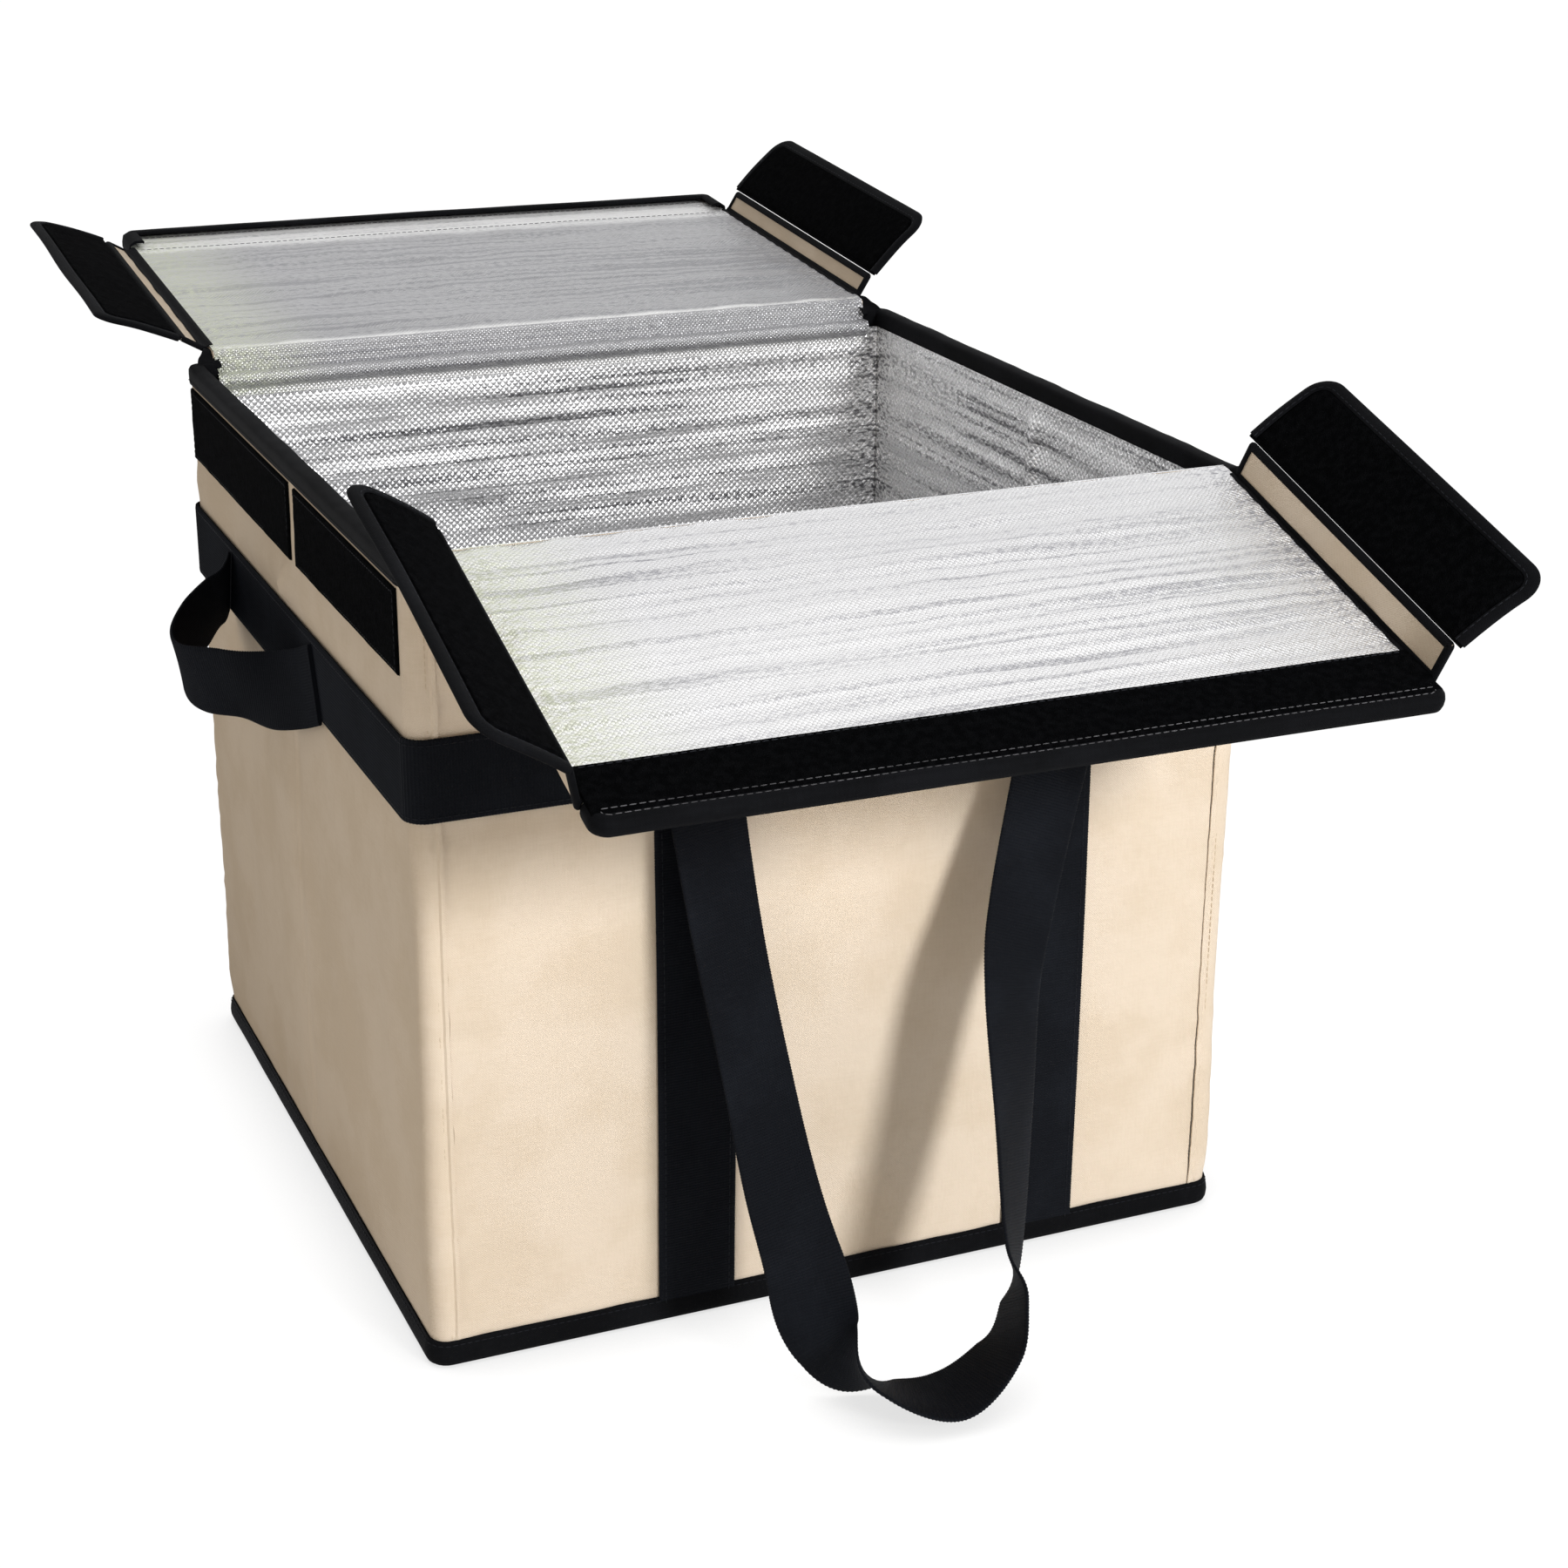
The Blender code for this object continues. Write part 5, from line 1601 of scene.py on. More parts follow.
def bound_edge(path: Array, normals: Array, half: float, lap: float, tape: float) -> Shape:
    """Edge tape folded over a flap's edge, in the flap's own axes (out, along, facing).

    Args:
        path: the flap's edge, as (out, along).
        normals: its outward normals.
        half: half the flap's thickness.
        lap: how far the tape reaches back over the flap.
        tape: the tape's thickness.

    Returns:
        The closed band.
    """
    upper = np.array([[-lap, half], [-lap + 0.6 * MM, half + tape / 2], [-0.35 * lap, half + tape / 2]])
    nose = np.array([[0.1 * MM, half * 0.8], [tape / 2 + 0.1 * MM, half * 0.3]])
    chain = np.concatenate([upper, nose])
    chain = np.concatenate([chain, chain[::-1] * np.array([1.0, -1.0])])
    level = np.zeros((len(path), 1))
    centres = np.concatenate([path, level], axis=1)
    side = np.concatenate([normals, level], axis=1)
    return swept(centres, side, np.tile(UP, (len(path), 1)), folded_band(chain, tape))


def flap_grid(inner: float, outer: float, near: float, far: float, radius: float, pitch: float) -> Array:
    """A grid of (out, along) over a flap whose outer corners are round.

    Each column keeps its distance from the fold, and is shortened at both ends by the corner's circle.
    """
    outs = graded(inner, outer, (outer,), pitch / 4, pitch, radius / 2)
    shares = np.linspace(0.0, 1.0, int(round((far - near) / pitch)) + 1)
    past = np.clip(outs - (outer - radius), 0.0, radius)
    cut = radius - np.sqrt(np.maximum(radius**2 - past**2, 0.0))
    along = near + cut[None, :] + shares[:, None] * (far - near - 2.0 * cut[None, :])
    return stacked(np.tile(outs, (len(shares), 1)), along)


@dataclass
class Lid:
    """One lid: foil over foam over canvas, a bound free edge, a closing tape and its hinge bands."""

    shop: Workshop
    end: str
    tape_node: str
    side_end: float
    crown: float
    seed: int
    corner: float = 7.0 * MM
    lap: float = 5.0 * MM
    cloth: float = 0.8 * MM
    film: float = 0.5 * MM

    def __post_init__(self) -> None:
        """Reads the lid's axes and sizes from its joints and solids."""
        model = self.shop.model
        self.sign = -1.0 if self.end == "front" else 1.0
        origin, _ = model.hinge(f"{self.end}_lid_fold")
        _, along = model.hinge(f"{self.end}_left_strip_fold")
        along = along * np.sign(along[1] * self.sign)
        facing = np.cross(RIGHT, along)
        self.place = Place(origin, RIGHT, along, facing * np.sign(facing[2]))
        _, high = model.span(f"{self.end}_lid_shell", self.place)
        self.half, self.depth, self.thick = float(high[0]), float(high[1]), float(high[2])
        self.tape_low, self.tape_high = model.span(f"{self.end}_lid_{self.tape_node}", self.place)
        finishes = self.shop.finishes
        self.film_finish = finishes.front_foil if self.end == "front" else finishes.back_foil
        self.waves = Ripples(self.seed, 0.75 * MM, 0.11, 0.022, 18, math.pi / 2, 0.9)
        self.creases = Ripples(self.seed + 1, 0.30 * MM, 0.05, 0.010, 22, 0.4, 2.2)
        self.bands = Ripples(self.seed + 2, 0.22 * MM, 0.024, 0.006, 20, math.pi / 2, 0.10)

    def soft(self, points: Array) -> Array:
        """Points in the lid's axes with its crown and waves, in the model's frame.

        The crown is a parabola across the lid. Crown and waves fade to nothing at the side edges and the
        hinge, and to a quarter at the closing tape.
        """
        across, along = points[..., 0], points[..., 1]
        rear = smooth_step(0.0, 0.03, along)
        tape = smooth_step(self.tape_low[1] - 0.03, self.tape_low[1], along)
        sides = smooth_step(0.0, 0.025, self.half - np.abs(across))
        crown = self.crown * np.clip(1.0 - (across / self.half) ** 2, 0.0, 1.0) * rear * (1.0 - 0.85 * tape)
        waves = self.waves.at(across, along) * rear * sides * (1.0 - 0.75 * tape)
        moved = points.copy()
        moved[..., 2] += crown + waves
        return self.place.world(moved)

    def build(self) -> None:
        """Builds every piece of the lid."""
        self.foil()
        self.canvas()
        self.padding()
        self.binding()
        self.tape()
        self.hinge_band()
        self.necks()
        self.stitches()

    def piece(self, name: str, shape: Shape, stock: Stock, node: str) -> bpy.types.Object:
        """A piece that rides the lid and stands for one of its nodes."""
        body = f"{self.end}_lid"
        return make_piece(f"{body}_{name}", shape, stock, body, [f"{body}_{node}"])

    def half_at(self, along: Array) -> Array:
        """Half the lid's width at a distance from its hinge: the free corners are quarter circles."""
        past = np.clip(along - (self.depth - self.corner), 0.0, self.corner)
        return self.half - self.corner + np.sqrt(self.corner**2 - past**2)

    def foil(self) -> None:
        """The foil: long waves across it, fine creases, and gathers along its side seams."""
        alongs = evenly(0.0, self.depth - 0.6 * MM, 0.0017)
        shares = graded(-1.0, 1.0, (-1.0, 1.0), 0.004, 0.013, 0.06)
        share, along = grid(shares, alongs)
        across = share * (self.half_at(along) - 0.3 * MM)
        near = self.half - np.abs(across)
        free = smooth_step(0.0, 0.012, near) * (1.0 - smooth_step(-0.012, 0.0, along - self.tape_low[1]))
        creases = self.creases.at(across, along) * free
        gather = 0.45 * MM * np.exp(-near / 0.012) * np.sin(2.0 * math.pi * along / 0.013 + 3.0 * share)
        bands = self.bands.at(across, along) * free
        film = self.thick + np.maximum(creases + bands, -0.35 * MM) + gather * smooth_step(0.0, 0.004, near)
        film = film - 0.5 * MM * (1.0 - smooth_step(0.0, 0.0035, along))
        if self.tape_low[2] < 0.0:
            film = film + 0.5 * MM * bump(along, self.tape_low[1] - 0.004, 0.0025)
        face = stacked(across, along, film)
        shape = sheet(face, face[..., :2], self.film, (0, 0, 1)).warped(self.soft)
        self.piece("foil", shape, self.film_finish, "liner")

    def canvas(self) -> None:
        """The outer canvas, turned up round the side edges, and its rolled edge at the hinge."""
        thick = self.thick
        rise = np.array([0.7, 0.2, -0.35, -0.72, -0.93, -1.0]) * thick
        inset = np.array([0.05, 0.0, 0.0, 0.3, 1.0, 2.2]) * MM
        flat = np.linspace(-self.half + 0.004, self.half - 0.004, 96)
        chain_u = np.concatenate([-self.half + inset, flat, (self.half - inset)[::-1]])
        chain_w = np.concatenate([rise, np.full(flat.shape, -thick), rise[::-1]])
        alongs = evenly(0.0, self.depth - 0.4 * MM, 0.0045)
        scale = (self.half_at(alongs) / self.half)[:, None]
        face = stacked(chain_u[None] * scale, alongs[:, None], chain_w[None])
        face[..., 2] -= np.abs(self.creases.at(face[..., 0] + 1.0, face[..., 1])) * 0.6
        face[..., 2] = np.maximum(face[..., 2], -thick - 0.25 * MM)
        around = np.concatenate([[0.0], np.cumsum(np.hypot(np.diff(chain_u), np.diff(chain_w)))])
        flat_place = stacked(around[None] + 0.0 * alongs[:, None], alongs[:, None])
        body = sheet(face, flat_place, self.cloth, (0, 0, -1)).warped(self.soft)
        turn = np.linspace(-math.pi / 2, -math.pi * 1.40, 13)
        radius = thick - self.cloth / 2 - 0.75 * MM * smooth_step(0.0, 1.2, -math.pi / 2 - turn)
        chain = stacked(np.cos(turn), np.sin(turn)) * radius[:, None]
        places = evenly(-self.half, self.half, 0.006)
        centres = stacked(places, 0.0, 0.0)
        side = np.tile(REAR, (len(places), 1))
        up = np.tile(UP, (len(places), 1))
        roll = swept(centres, side, up, folded_band(chain, self.cloth)).warped(self.soft)
        self.piece("canvas", joined([body, roll]), self.shop.finishes.canvas, "shell")

    def padding(self) -> None:
        """The foam between foil and canvas."""
        low, high = self.shop.model.span(f"{self.end}_lid_foam", self.place)
        low, high = low + np.array([0.002, 0.002, 0.0]), high - np.array([0.002, 0.002, 0.1 * MM])
        shape = rounded_pad(low, high, 0.006, 0.002).warped(self.soft)
        self.piece("padding", shape, self.shop.finishes.foam, "foam")

    def edge(self, inset: float, pitch: float) -> tuple[Array, Array]:
        """The bound edge in the lid's axes, moved in by an inset, and its outward normals."""
        path, normals = three_sides(
            self.side_end,
            self.depth - inset,
            -self.half + inset,
            self.half - inset,
            max(self.corner - inset, 1.0 * MM),
            pitch,
        )
        return path, normals

    def binding(self) -> None:
        """The tape round the free edge and its two corners."""
        path, normals = self.edge(0.0, 0.0012)
        shape = bound_edge(path, normals, self.thick + 0.35 * MM, self.lap, 0.9 * MM)
        shape.points = shape.points[:, [1, 0, 2]]
        if self.end == "back":
            shape.points[:, 2] = np.where(shape.points[:, 2] > 0.0, 1.7, 1.0) * shape.points[:, 2]
        shape = outward(shape).warped(self.soft)
        self.piece("edge_tape", shape, self.shop.finishes.binding, "binding")

    def tape(self) -> None:
        """The closing tape: hooks on the front lid's foil, loops on the back lid's canvas."""
        hooks = self.tape_low[2] > 0.0
        low = np.array([-self.half + 0.3 * MM, self.tape_low[1], self.thick - 0.1 * MM])
        top = np.abs([self.tape_low[2], self.tape_high[2]]).max()
        high = np.array([self.half - 0.3 * MM, self.tape_high[1], top])
        pile = Ripples(self.seed + 5, 0.08 * MM, 0.02, 0.004)
        shape = rounded_pad(low, high, 0.003, 0.9 * MM, pile.at)
        if not hooks:
            shape.points = shape.points * np.array([1.0, 1.0, -1.0])
        shape = outward(shape).warped(self.soft)
        finishes = self.shop.finishes
        self.piece("tape", shape, finishes.hook if hooks else finishes.loop, self.tape_node)

    def hinge_band(self) -> None:
        """The foil that runs from the wall's lining over the rim and into the lid."""
        inner = self.shop.sizes.lining - 2.1 * MM
        rows = {
            "front": (
                (inner, 0.364), (inner - 0.0002, 0.3755), (inner + 0.0006, 0.3796), (0.1984, 0.3807),
                (0.2002, 0.3815),
            ),
            "back": (
                (inner + 0.0006, 0.3620),
                (inner + 0.0008, 0.3655),
                (inner - 0.0016, 0.3682),
                (inner - 0.0030, 0.3712),
                (inner - 0.0012, 0.3740),
                (0.1975, 0.3748),
                (0.1988, 0.3750),
                (0.1995, 0.3775),
                (0.2002, 0.3805),
            ),
        }[self.end]
        turn = np.radians(np.array([188.0, 165.0, 140.0, 115.0, 92.0, 78.0]))
        axis = np.array([abs(float(self.place.origin[1])), float(self.place.origin[2])])
        radius = self.thick - 0.2 * MM
        around = axis + radius * stacked(np.cos(turn), np.sin(turn))
        knots = np.concatenate([np.array(rows), around])
        chain = resampled(smooth_route(np.concatenate([knots, knots[:, :1] * 0.0], axis=1)), 0.0009)
        places = graded(-1.0, 1.0, (-1.0, 1.0), 0.006, 0.013, 0.05)
        ripples = Ripples(self.seed + 7, 0.35 * MM, 0.05, 0.011, 20, 0.0, 1.0)
        share, run = grid(places, np.arange(len(chain)) * 0.0009)
        index = np.broadcast_to(np.arange(len(chain))[:, None], share.shape)
        reach = self.half - 0.5 * MM
        ahead = unit(np.gradient(chain[:, :2], axis=0))
        normal = np.stack([-ahead[:, 1], ahead[:, 0]], axis=-1)
        near_top = 1.0 - smooth_step(run.max() - 0.008, run.max() - 0.004, run)
        lift = np.abs(ripples.at(share * reach, run)) * smooth_step(0.0, 0.004, run) * near_top
        level = chain[index, 0] + normal[index, 0] * lift
        rise = chain[index, 1] + normal[index, 1] * lift
        face = stacked(share * reach, level * self.sign, rise)
        shape = sheet(face, stacked(share * reach, run), 0.25 * MM, (0.0, -0.3 * self.sign, 1.0))
        make_piece(f"{self.end}_hinge_foil", shape, self.film_finish, "root")

    def necks(self) -> None:
        """Black tape from each rim corner to the lid's rear corner."""
        for side in (-1.0, 1.0):
            origin = self.place.origin
            route = np.array(
                [
                    [side * 0.1930, self.sign * 0.1955, 0.3790],
                    [side * 0.1925, self.sign * 0.1995, 0.3812],
                    [side * 0.1910, self.sign * 0.2030, 0.3828],
                    self.place.world(np.array([side * 0.1895, 0.0035, 0.0020])),
                    self.place.world(np.array([side * 0.1885, 0.0090, 0.0016])),
                ]
            )
            route = resampled(smooth_route(route), 0.001)
            ahead = unit(np.gradient(route, axis=0))
            across = unit(RIGHT - ahead * (ahead @ RIGHT)[:, None])
            out = np.cross(ahead, across)
            width = np.linspace(6.5, 3.0, len(route))[:, None] * MM
            shares = np.array([-1.0, -0.8, 0.0, 0.8, 1.0])[None]
            arch = np.array([0.0, 0.9, 1.3, 0.9, 0.0])[None] * MM
            upper = stacked(shares * width, 0.3 * MM + arch)
            lower = stacked(shares[:, ::-1] * width, -0.3 * MM + arch[:, ::-1] * 0.6)
            shape = swept(route, across, out, np.concatenate([upper, lower], axis=1))
            bend = Bend(
                "root",
                f"{self.end}_lid",
                (0.0, self.sign * 0.2010, 0.382),
                (0.0, self.sign * 0.2080, float(origin[2])),
            )
            name = "left" if side < 0 else "right"
            make_piece(f"{self.end}_{name}_neck", shape, self.shop.finishes.binding, bend)

    def row(self, along: float, facing: float, reach: float) -> Shape:
        """A straight row of stitches across the lid."""
        places = evenly(-reach, reach, 0.002)
        line = stacked(places, along, facing)
        return thread_on(self.soft, line, math.copysign(MM, facing), LID_STITCH)

    def stitches(self) -> None:
        """Rows along the closing tape on both sides of the lid, and one on the bound edge."""
        finishes = self.shop.finishes
        hooks = self.tape_low[2] > 0.0
        top, low, high = self.thick, self.tape_low[1] + 2.0 * MM, self.tape_high[1] - 2.0 * MM
        reach = self.half - 0.006
        tape_face = float(np.abs([self.tape_low[2], self.tape_high[2]]).max())
        tape_side = [self.row(v, tape_face if hooks else -tape_face, reach) for v in (low, high)]
        other_side = [self.row(v, -top - 0.3 * MM if hooks else top, reach) for v in (low, high)]
        edge, _ = self.edge(3.8 * MM, 0.002)
        rows = {1.0: [], -1.0: []}
        for facing in (1.0, -1.0):
            line = stacked(edge[:, 1], edge[:, 0], facing * (top + 1.15 * MM))
            rows[facing].append(thread_on(self.soft, line, facing * MM, LID_STITCH))
        pale = tape_side[1:] + rows[1.0] if hooks else []
        dark = rows[-1.0] + other_side + tape_side[:1]
        dark = dark if hooks else dark + tape_side[1:] + rows[1.0]
        sorts = ("pale", pale, finishes.grey_thread), ("dark", dark, finishes.dark_thread)
        for name, shapes, stock in sorts:
            if shapes:
                make_piece(f"{self.end}_lid_{name}_stitches", joined(shapes), stock, f"{self.end}_lid")


@dataclass
class CornerTab:
    """A fold strip at a lid's side and the bound tab that folds about its outer edge."""

    shop: Workshop
    lid: Lid
    side: str
    curl: float = 4.0 * MM
    radius: float = 12.0 * MM

    def __post_init__(self) -> None:
        """Reads the strip's and the tab's axes from their joints and solids."""
        model, lid = self.shop.model, self.lid
        self.name = f"{lid.end}_{self.side}"
        self.sign = -1.0 if self.side == "left" else 1.0
        fold, _ = model.hinge(f"{self.name}_strip_fold")
        hinge, _ = model.hinge(f"{self.name}_tab_fold")
        self.strip = self.flap(fold, unit(hinge - fold))
        middle = model.points(f"{self.name}_tab_panel").mean(0) - hinge
        self.tab = self.flap(hinge, unit(middle - lid.place.along * (middle @ lid.place.along)))
        self.reach = float(np.linalg.norm(hinge - fold))
        low, high = model.span(f"{self.name}_tab_panel", self.tab)
        self.near, self.far = float(low[1]), float(high[1])
        self.width, self.thick = float(high[0]), float(high[2])
        low, high = model.span(f"{self.name}_fold_strip", self.strip)
        self.strip_near, self.strip_far, self.strip_out = float(low[1]), float(high[1]), float(high[0])
        self.waves = Ripples(61 + len(self.name) + int(self.sign), 0.5 * MM, 0.09, 0.03, 8, 0.0, 1.0)

    def flap(self, origin: Array, across: Array) -> Place:
        """A flap's axes: the lid's foil side, squared to the flap, is the way that it faces."""
        facing = self.lid.place.facing
        return Place(origin, across, self.lid.place.along, unit(facing - across * (facing @ across)))

    def soft(self, points: Array) -> Array:
        """Points in the tab's axes with its curl, in the model's frame: a square law out from the fold."""
        share = np.clip(points[..., 0] / self.width, 0.0, 1.2)
        moved = points.copy()
        moved[..., 2] += self.waves.at(points[..., 0], points[..., 1]) * share - self.curl * share**2
        return self.tab.world(moved)

    def build(self) -> None:
        """Builds the strip and the tab."""
        self.strip_pieces()
        self.tab_pieces()

    def strip_pieces(self) -> None:
        """The pale strip, the tape round its free sides and the dark gusset at its fold."""
        finishes, body = self.shop.finishes, f"{self.name}_strip"
        along, out = grid(evenly(self.strip_near, self.strip_far, 0.003), evenly(0.0, self.strip_out, 0.0018))
        ripple = Ripples(91, 0.25 * MM, 0.05, 0.012).at(along, out)
        inset = np.clip(out / self.thick, 0.0, 1.0)
        half = self.thick * np.sqrt(np.clip(1.0 - (1.0 - inset) ** 2, 0.05, 1.0))
        face = stacked(out, along, half + ripple * smooth_step(0.0, 0.004, out))
        shape = sheet(face, stacked(along, out), 2.0 * half, (0, 0, 1)).warped(self.strip.world)
        make_piece(f"{self.name}_strip_canvas", shape, finishes.canvas, body, [f"{self.name}_fold_strip"])
        path, normals = three_sides(
            0.4 * MM, self.strip_out, self.strip_near, self.strip_far, 1.6 * MM, 0.001
        )
        shape = bound_edge(path, normals, self.thick + 0.3 * MM, 3.0 * MM, 0.6 * MM).warped(self.strip.world)
        make_piece(f"{self.name}_strip_tape", shape, finishes.binding, body)
        self.gusset()

    def gusset(self) -> None:
        """The dark tape in the fold between the lid's foil and the strip."""
        lid = self.lid
        top = lid.thick
        far = lid.place.local(self.strip.world(np.array([3.8 * MM, 0.0, self.thick + 0.45 * MM])))
        past = lid.place.local(self.strip.world(np.array([4.6 * MM, 0.0, self.thick + 0.1 * MM])))
        near = (lid.half - 2.2 * MM, top + 0.15 * MM)
        crest = (lid.half - 0.8 * MM, top + 0.35 * MM)
        reach = abs(float(far[0]))
        dip = ((crest[0] + reach) / 2.0 + 0.3 * MM, (crest[1] + float(far[2])) / 2.0 - 0.9 * MM)
        rows = [near, crest, dip, (reach, float(far[2])), (abs(float(past[0])), float(past[2]))]
        chain = resampled(smooth_route(np.array([(u, w, 0.0) for u, w in rows]), 10), 0.0008)[:, :2]
        places = evenly(self.strip_near, self.strip_far, 0.004)
        centres = stacked(0.0, places, 0.0)
        side = np.tile([self.sign, 0.0, 0.0], (len(places), 1))
        up = np.tile(UP, (len(places), 1))
        shape = swept(centres, side, up, folded_band(chain, 0.7 * MM)).warped(lid.place.world)
        ends = [
            lid.place.world(np.array([self.sign * u, (self.near + self.far) / 2.0, w]))
            for u, w in (crest, (reach, float(far[2])))
        ]
        bend = Bend(f"{lid.end}_lid", f"{self.name}_strip", tuple(ends[0]), tuple(ends[1]))
        make_piece(f"{self.name}_gusset", shape, self.shop.finishes.binding, bend)

    def tab_pieces(self) -> None:
        """The tab's cloth, its hook patch, the tape round its three free sides and the stitches."""
        finishes, body = self.shop.finishes, f"{self.name}_tab"
        cells = flap_grid(0.1 * MM, self.width, self.near, self.far, self.radius, 0.003)
        root = 1.0 - np.clip(cells[..., 0] / (2.0 * MM), 0.0, 1.0)
        half = self.thick * np.sqrt(np.clip(1.0 - root**2, 0.04, 1.0))
        face = stacked(cells[..., 0], cells[..., 1], half)
        shape = sheet(face, cells, 2.0 * half, (0, 0, 1)).warped(self.soft)
        make_piece(f"{self.name}_tab_cloth", shape, finishes.tab, body, [f"{body}_panel"])
        low, high = self.shop.model.span(f"{body}_hook_patch", self.tab)
        cells = flap_grid(
            float(low[0]), float(high[0]), float(low[1]), float(high[1]), self.radius - 5.3 * MM, 0.002
        )
        edge = np.minimum(
            np.minimum(cells[..., 0] - low[0], high[0] - cells[..., 0]),
            np.minimum(cells[..., 1] - cells[:1, :, 1], cells[-1:, :, 1] - cells[..., 1]),
        )
        pile = Ripples(95, 0.10 * MM, 0.02, 0.004).at(cells[..., 0], cells[..., 1])
        share = np.sqrt(np.clip(1.0 - (1.0 - np.clip(edge / (1.0 * MM), 0.0, 1.0)) ** 2, 0.0, 1.0))
        rise = self.thick + 0.15 * MM + (float(high[2]) - self.thick - 0.3 * MM + pile) * share
        face = stacked(cells[..., 0], cells[..., 1], rise)
        shape = sheet(face, cells, rise - self.thick + 0.1 * MM, (0, 0, 1)).warped(self.soft)
        make_piece(f"{self.name}_tab_hooks", shape, finishes.hook, body, [f"{body}_hook_patch"])
        path, normals = three_sides(1.5 * MM, self.width, self.near, self.far, self.radius, 0.0012)
        shape = bound_edge(path, normals, self.thick + 0.3 * MM, 5.0 * MM, 0.8 * MM).warped(self.soft)
        make_piece(f"{self.name}_tab_tape", shape, finishes.binding, body, [f"{body}_binding"])
        rows = []
        path, _ = three_sides(
            2.5 * MM, self.width - 3.8 * MM, self.near + 3.8 * MM, self.far - 3.8 * MM, 8.2 * MM, 0.0015
        )
        for facing in (1.0, -1.0):
            line = stacked(path[:, 0], path[:, 1], facing * (self.thick + 1.0 * MM))
            rows.append(thread_on(self.soft, line, facing * MM, TAB_STITCH))
        make_piece(f"{self.name}_tab_stitches", joined(rows), finishes.dark_thread, body)


# Studio


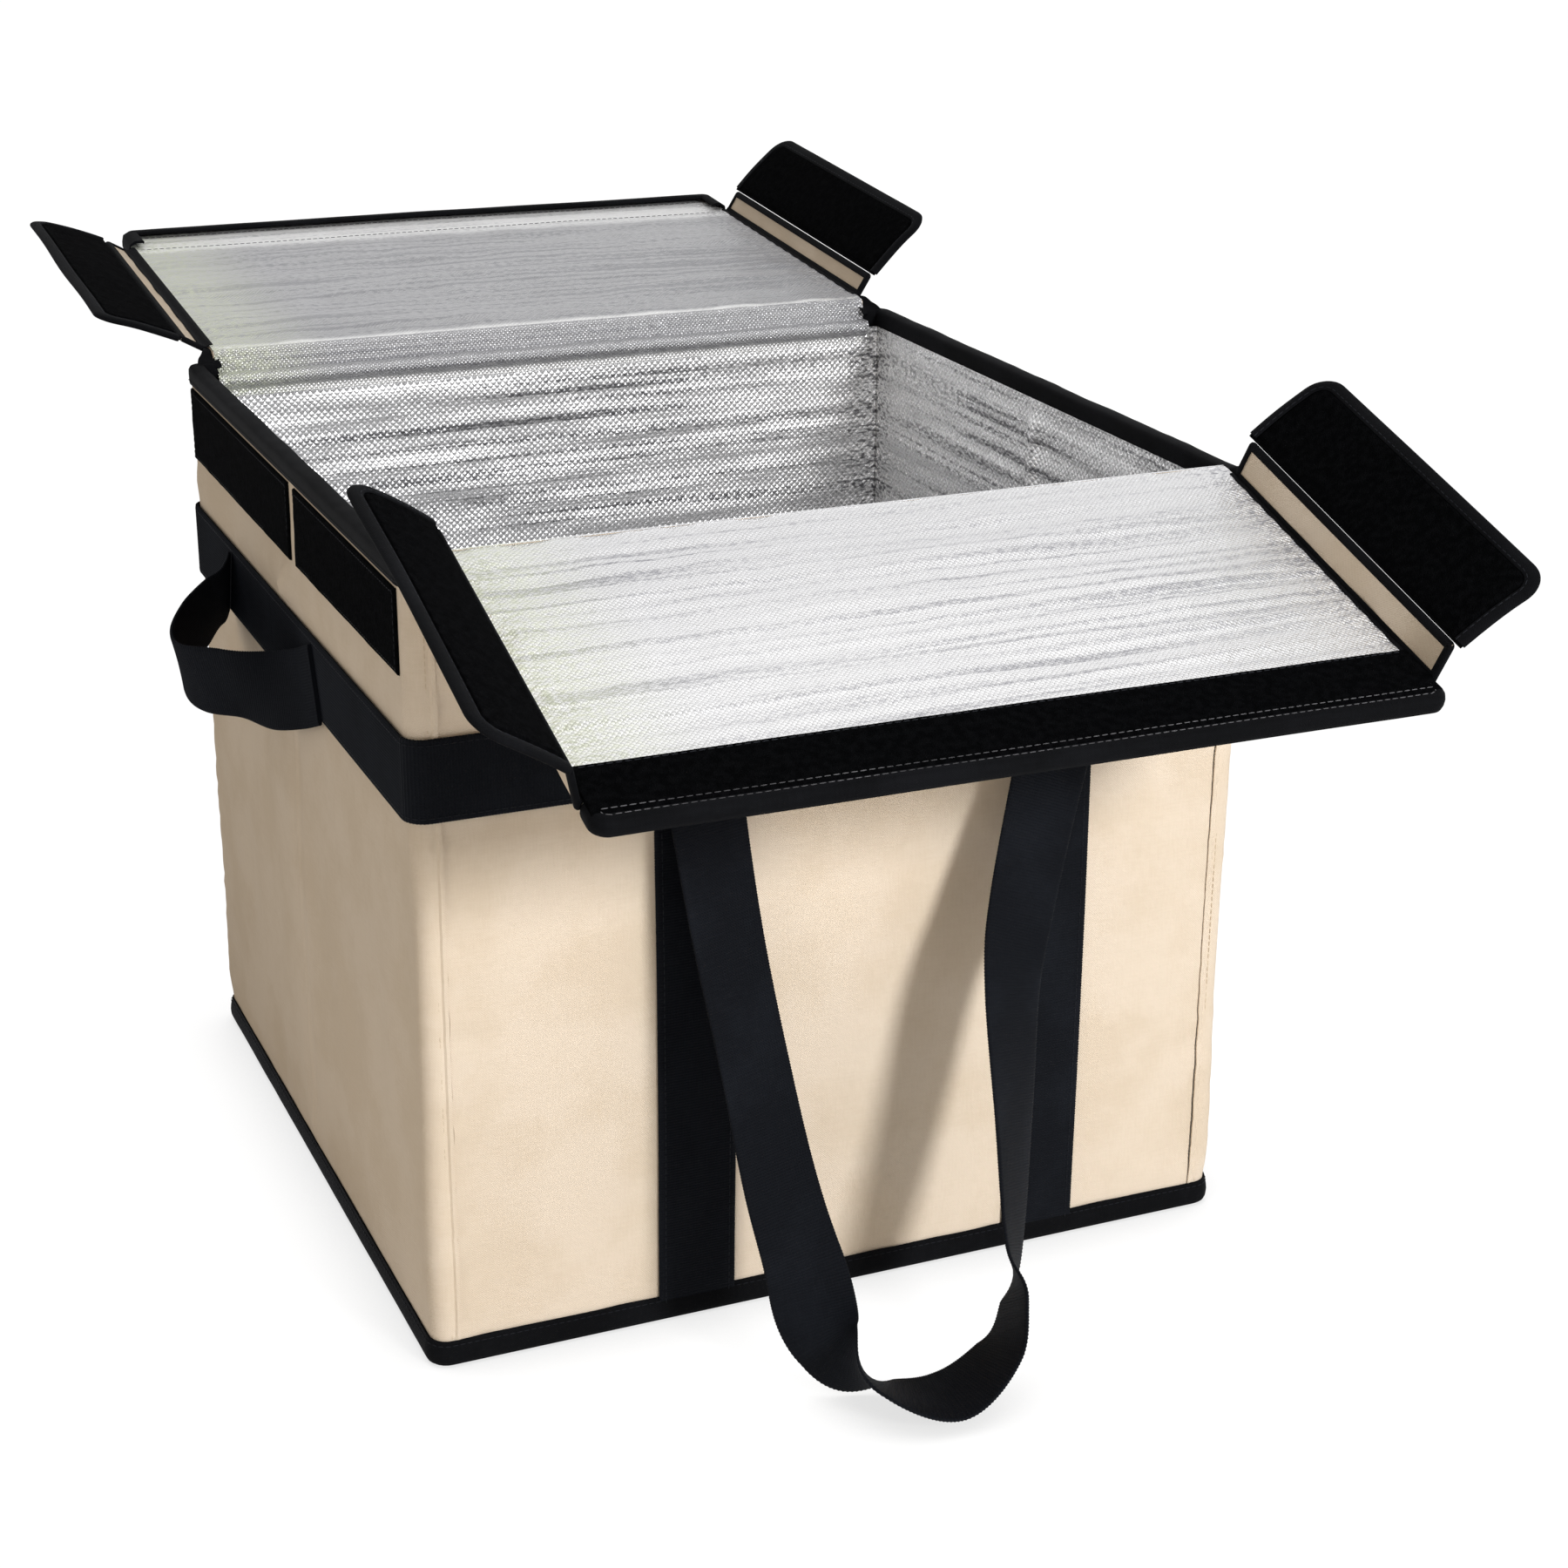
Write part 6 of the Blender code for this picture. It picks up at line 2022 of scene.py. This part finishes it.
@dataclass(frozen=True)
class Studio:
    """The white room, the lamps and the camera."""

    eye: tuple[float, float, float] = (-0.5029, -1.2982, 0.7183)
    heading: float = math.radians(23.26)
    pitch: float = math.radians(20.99)
    roll: float = math.radians(0.375)
    lens: float = 65.84
    sensor: float = 36.0
    key: tuple[float, float, float] = (0.80, -2.70, 1.50)
    key_power: float = 68.0
    key_size: float = 0.60
    side: tuple[float, float, float] = (-2.40, -1.30, 1.10)
    side_power: float = 8.0
    side_size: float = 1.2
    fill: float = 0.31
    warm: tuple[float, float, float] = (1.0, 0.86, 0.68)

    def build(self) -> None:
        """Sets up the room, the lamps and the camera."""
        self.room()
        self.lamp("key", np.array(self.key), self.key_power, self.key_size, (1.0, 1.0, 1.0))
        self.lamp("side", np.array(self.side), self.side_power, self.side_size, self.warm)
        self.camera()

    def room(self) -> None:
        """A white world and a white floor. The floor's faint shadow is partly real, from the share that the
        lamps light, and partly a painted contact shadow: its glow is darkened by ambient occlusion near the
        bag.
        """
        world = bpy.data.worlds.new("white_room")
        bpy.context.scene.world = world
        world.use_nodes = True
        nodes = Nodes(world.node_tree)
        shade = world.node_tree.nodes["Background"]
        path = nodes.add("ShaderNodeLightPath")
        seen = nodes.math("MAXIMUM", path.outputs["Is Camera Ray"], path.outputs["Is Glossy Ray"])
        seen = nodes.math("MAXIMUM", seen, path.outputs["Is Transmission Ray"])
        nodes.join(nodes.ramp(seen, 0.0, 1.0, self.fill, 1.0), shade.inputs["Strength"])
        nodes.join(nodes.mixed(seen, (1.0, 0.95, 0.88), (1.0, 1.0, 1.0)), shade.inputs["Color"])
        mesh = bpy.data.meshes.new("floor")
        reach = 30.0
        mesh.from_pydata(
            [(-reach, -reach, 0.0), (reach, -reach, 0.0), (reach, reach, 0.0), (-reach, reach, 0.0)],
            [],
            [(0, 1, 2, 3)],
        )
        floor = bpy.data.objects.new("floor", mesh)
        bpy.context.scene.collection.objects.link(floor)
        material = bpy.data.materials.new("white_floor")
        material.use_nodes = True
        nodes = Nodes(material.node_tree)
        shader = material.node_tree.nodes["Principled BSDF"]
        shader.inputs["Base Color"].default_value = (0.85, 0.85, 0.85, 1.0)
        shader.inputs["Roughness"].default_value = 1.0
        shader.inputs["Specular IOR Level"].default_value = 0.0
        glow = nodes.add("ShaderNodeEmission")
        # Painted contact shadow: ambient occlusion darkens the floor's glow near the bag
        near = nodes.add("ShaderNodeAmbientOcclusion", samples=8)
        near.inputs["Distance"].default_value = 0.06
        nodes.join(nodes.ramp(near.outputs["AO"], 0.25, 0.90, 0.82, 1.12), glow.inputs["Strength"])
        blend = nodes.add("ShaderNodeMixShader")
        path = nodes.add("ShaderNodeLightPath")
        seen = nodes.math("MAXIMUM", path.outputs["Is Camera Ray"], path.outputs["Is Glossy Ray"])
        nodes.join(nodes.math("MULTIPLY", seen, 0.88), blend.inputs[0])
        nodes.join(shader.outputs[0], blend.inputs[1])
        nodes.join(glow.outputs[0], blend.inputs[2])
        nodes.join(blend.outputs[0], material.node_tree.nodes["Material Output"].inputs["Surface"])
        mesh.materials.append(material)
        floor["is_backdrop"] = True

    def lamp(self, name: str, place: Array, power: float, size: float, tone: Sequence[float]) -> None:
        """A round soft lamp that faces the bag."""
        data = bpy.data.lights.new(name, "AREA")
        data.shape = "DISK"
        data.size = size
        data.energy = power
        data.color = tone
        back = unit(place - np.array([0.0, -0.1, 0.2]))
        right = unit(np.cross(UP, back))
        self.put(name, data, place, right, np.cross(back, right), back)

    @staticmethod
    def put(name: str, data: Any, place: Array, right: Array, up: Array, back: Array) -> bpy.types.Object:
        """Puts an object at a place, with its own axes along three directions."""
        thing = bpy.data.objects.new(name, data)
        bpy.context.scene.collection.objects.link(thing)
        rows = [[*map(float, values)] for values in zip(right, up, back, place)]
        thing.matrix_world = Matrix([*rows, [0.0, 0.0, 0.0, 1.0]])
        return thing

    def camera(self) -> None:
        """The camera, placed by its heading, pitch and roll."""
        data = bpy.data.cameras.new("camera")
        data.lens, data.sensor_width = self.lens, self.sensor
        data.clip_start, data.clip_end = 0.05, 100.0
        turn, dip, roll = self.heading, self.pitch, self.roll
        ahead = np.array([math.sin(turn) * math.cos(dip), math.cos(turn) * math.cos(dip), -math.sin(dip)])
        right = np.array([math.cos(turn), -math.sin(turn), 0.0])
        up = np.cross(right, ahead)
        leaned = right * math.cos(roll) + up * math.sin(roll)
        risen = -right * math.sin(roll) + up * math.cos(roll)
        bpy.context.scene.camera = self.put("camera", data, np.array(self.eye), leaned, risen, -ahead)


def corners() -> list[list[float]]:
    """The shown object's lowest and highest corners as plain numbers."""
    return [[float(value) for value in corner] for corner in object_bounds()]


def main() -> None:
    """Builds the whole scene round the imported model."""
    logging.basicConfig(level=logging.INFO, format="%(name)s %(message)s")
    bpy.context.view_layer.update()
    model = Model(frame)
    sizes = BagSizes.measured(model)
    shop = Workshop(model, sizes, Finishes(), SoftWalls(sizes), Outline(sizes))
    Walls(shop).build()
    Trims(shop).build()
    Straps(shop).build()
    LoopHandle(shop).build()
    SideHandle(shop).build()
    front = Lid(shop, "front", "hook_strip", 0.1765, 1.0 * MM, 71)
    back = Lid(shop, "back", "loop_strip", 0.2125, 1.6 * MM, 81, lap=8.0 * MM)
    for lid in (front, back):
        lid.build()
        for side in ("left", "right"):
            CornerTab(shop, lid, side).build()
    Studio().build()
    bpy.context.scene.view_settings.view_transform = "Standard"


if __name__ == "__main__":
    main()
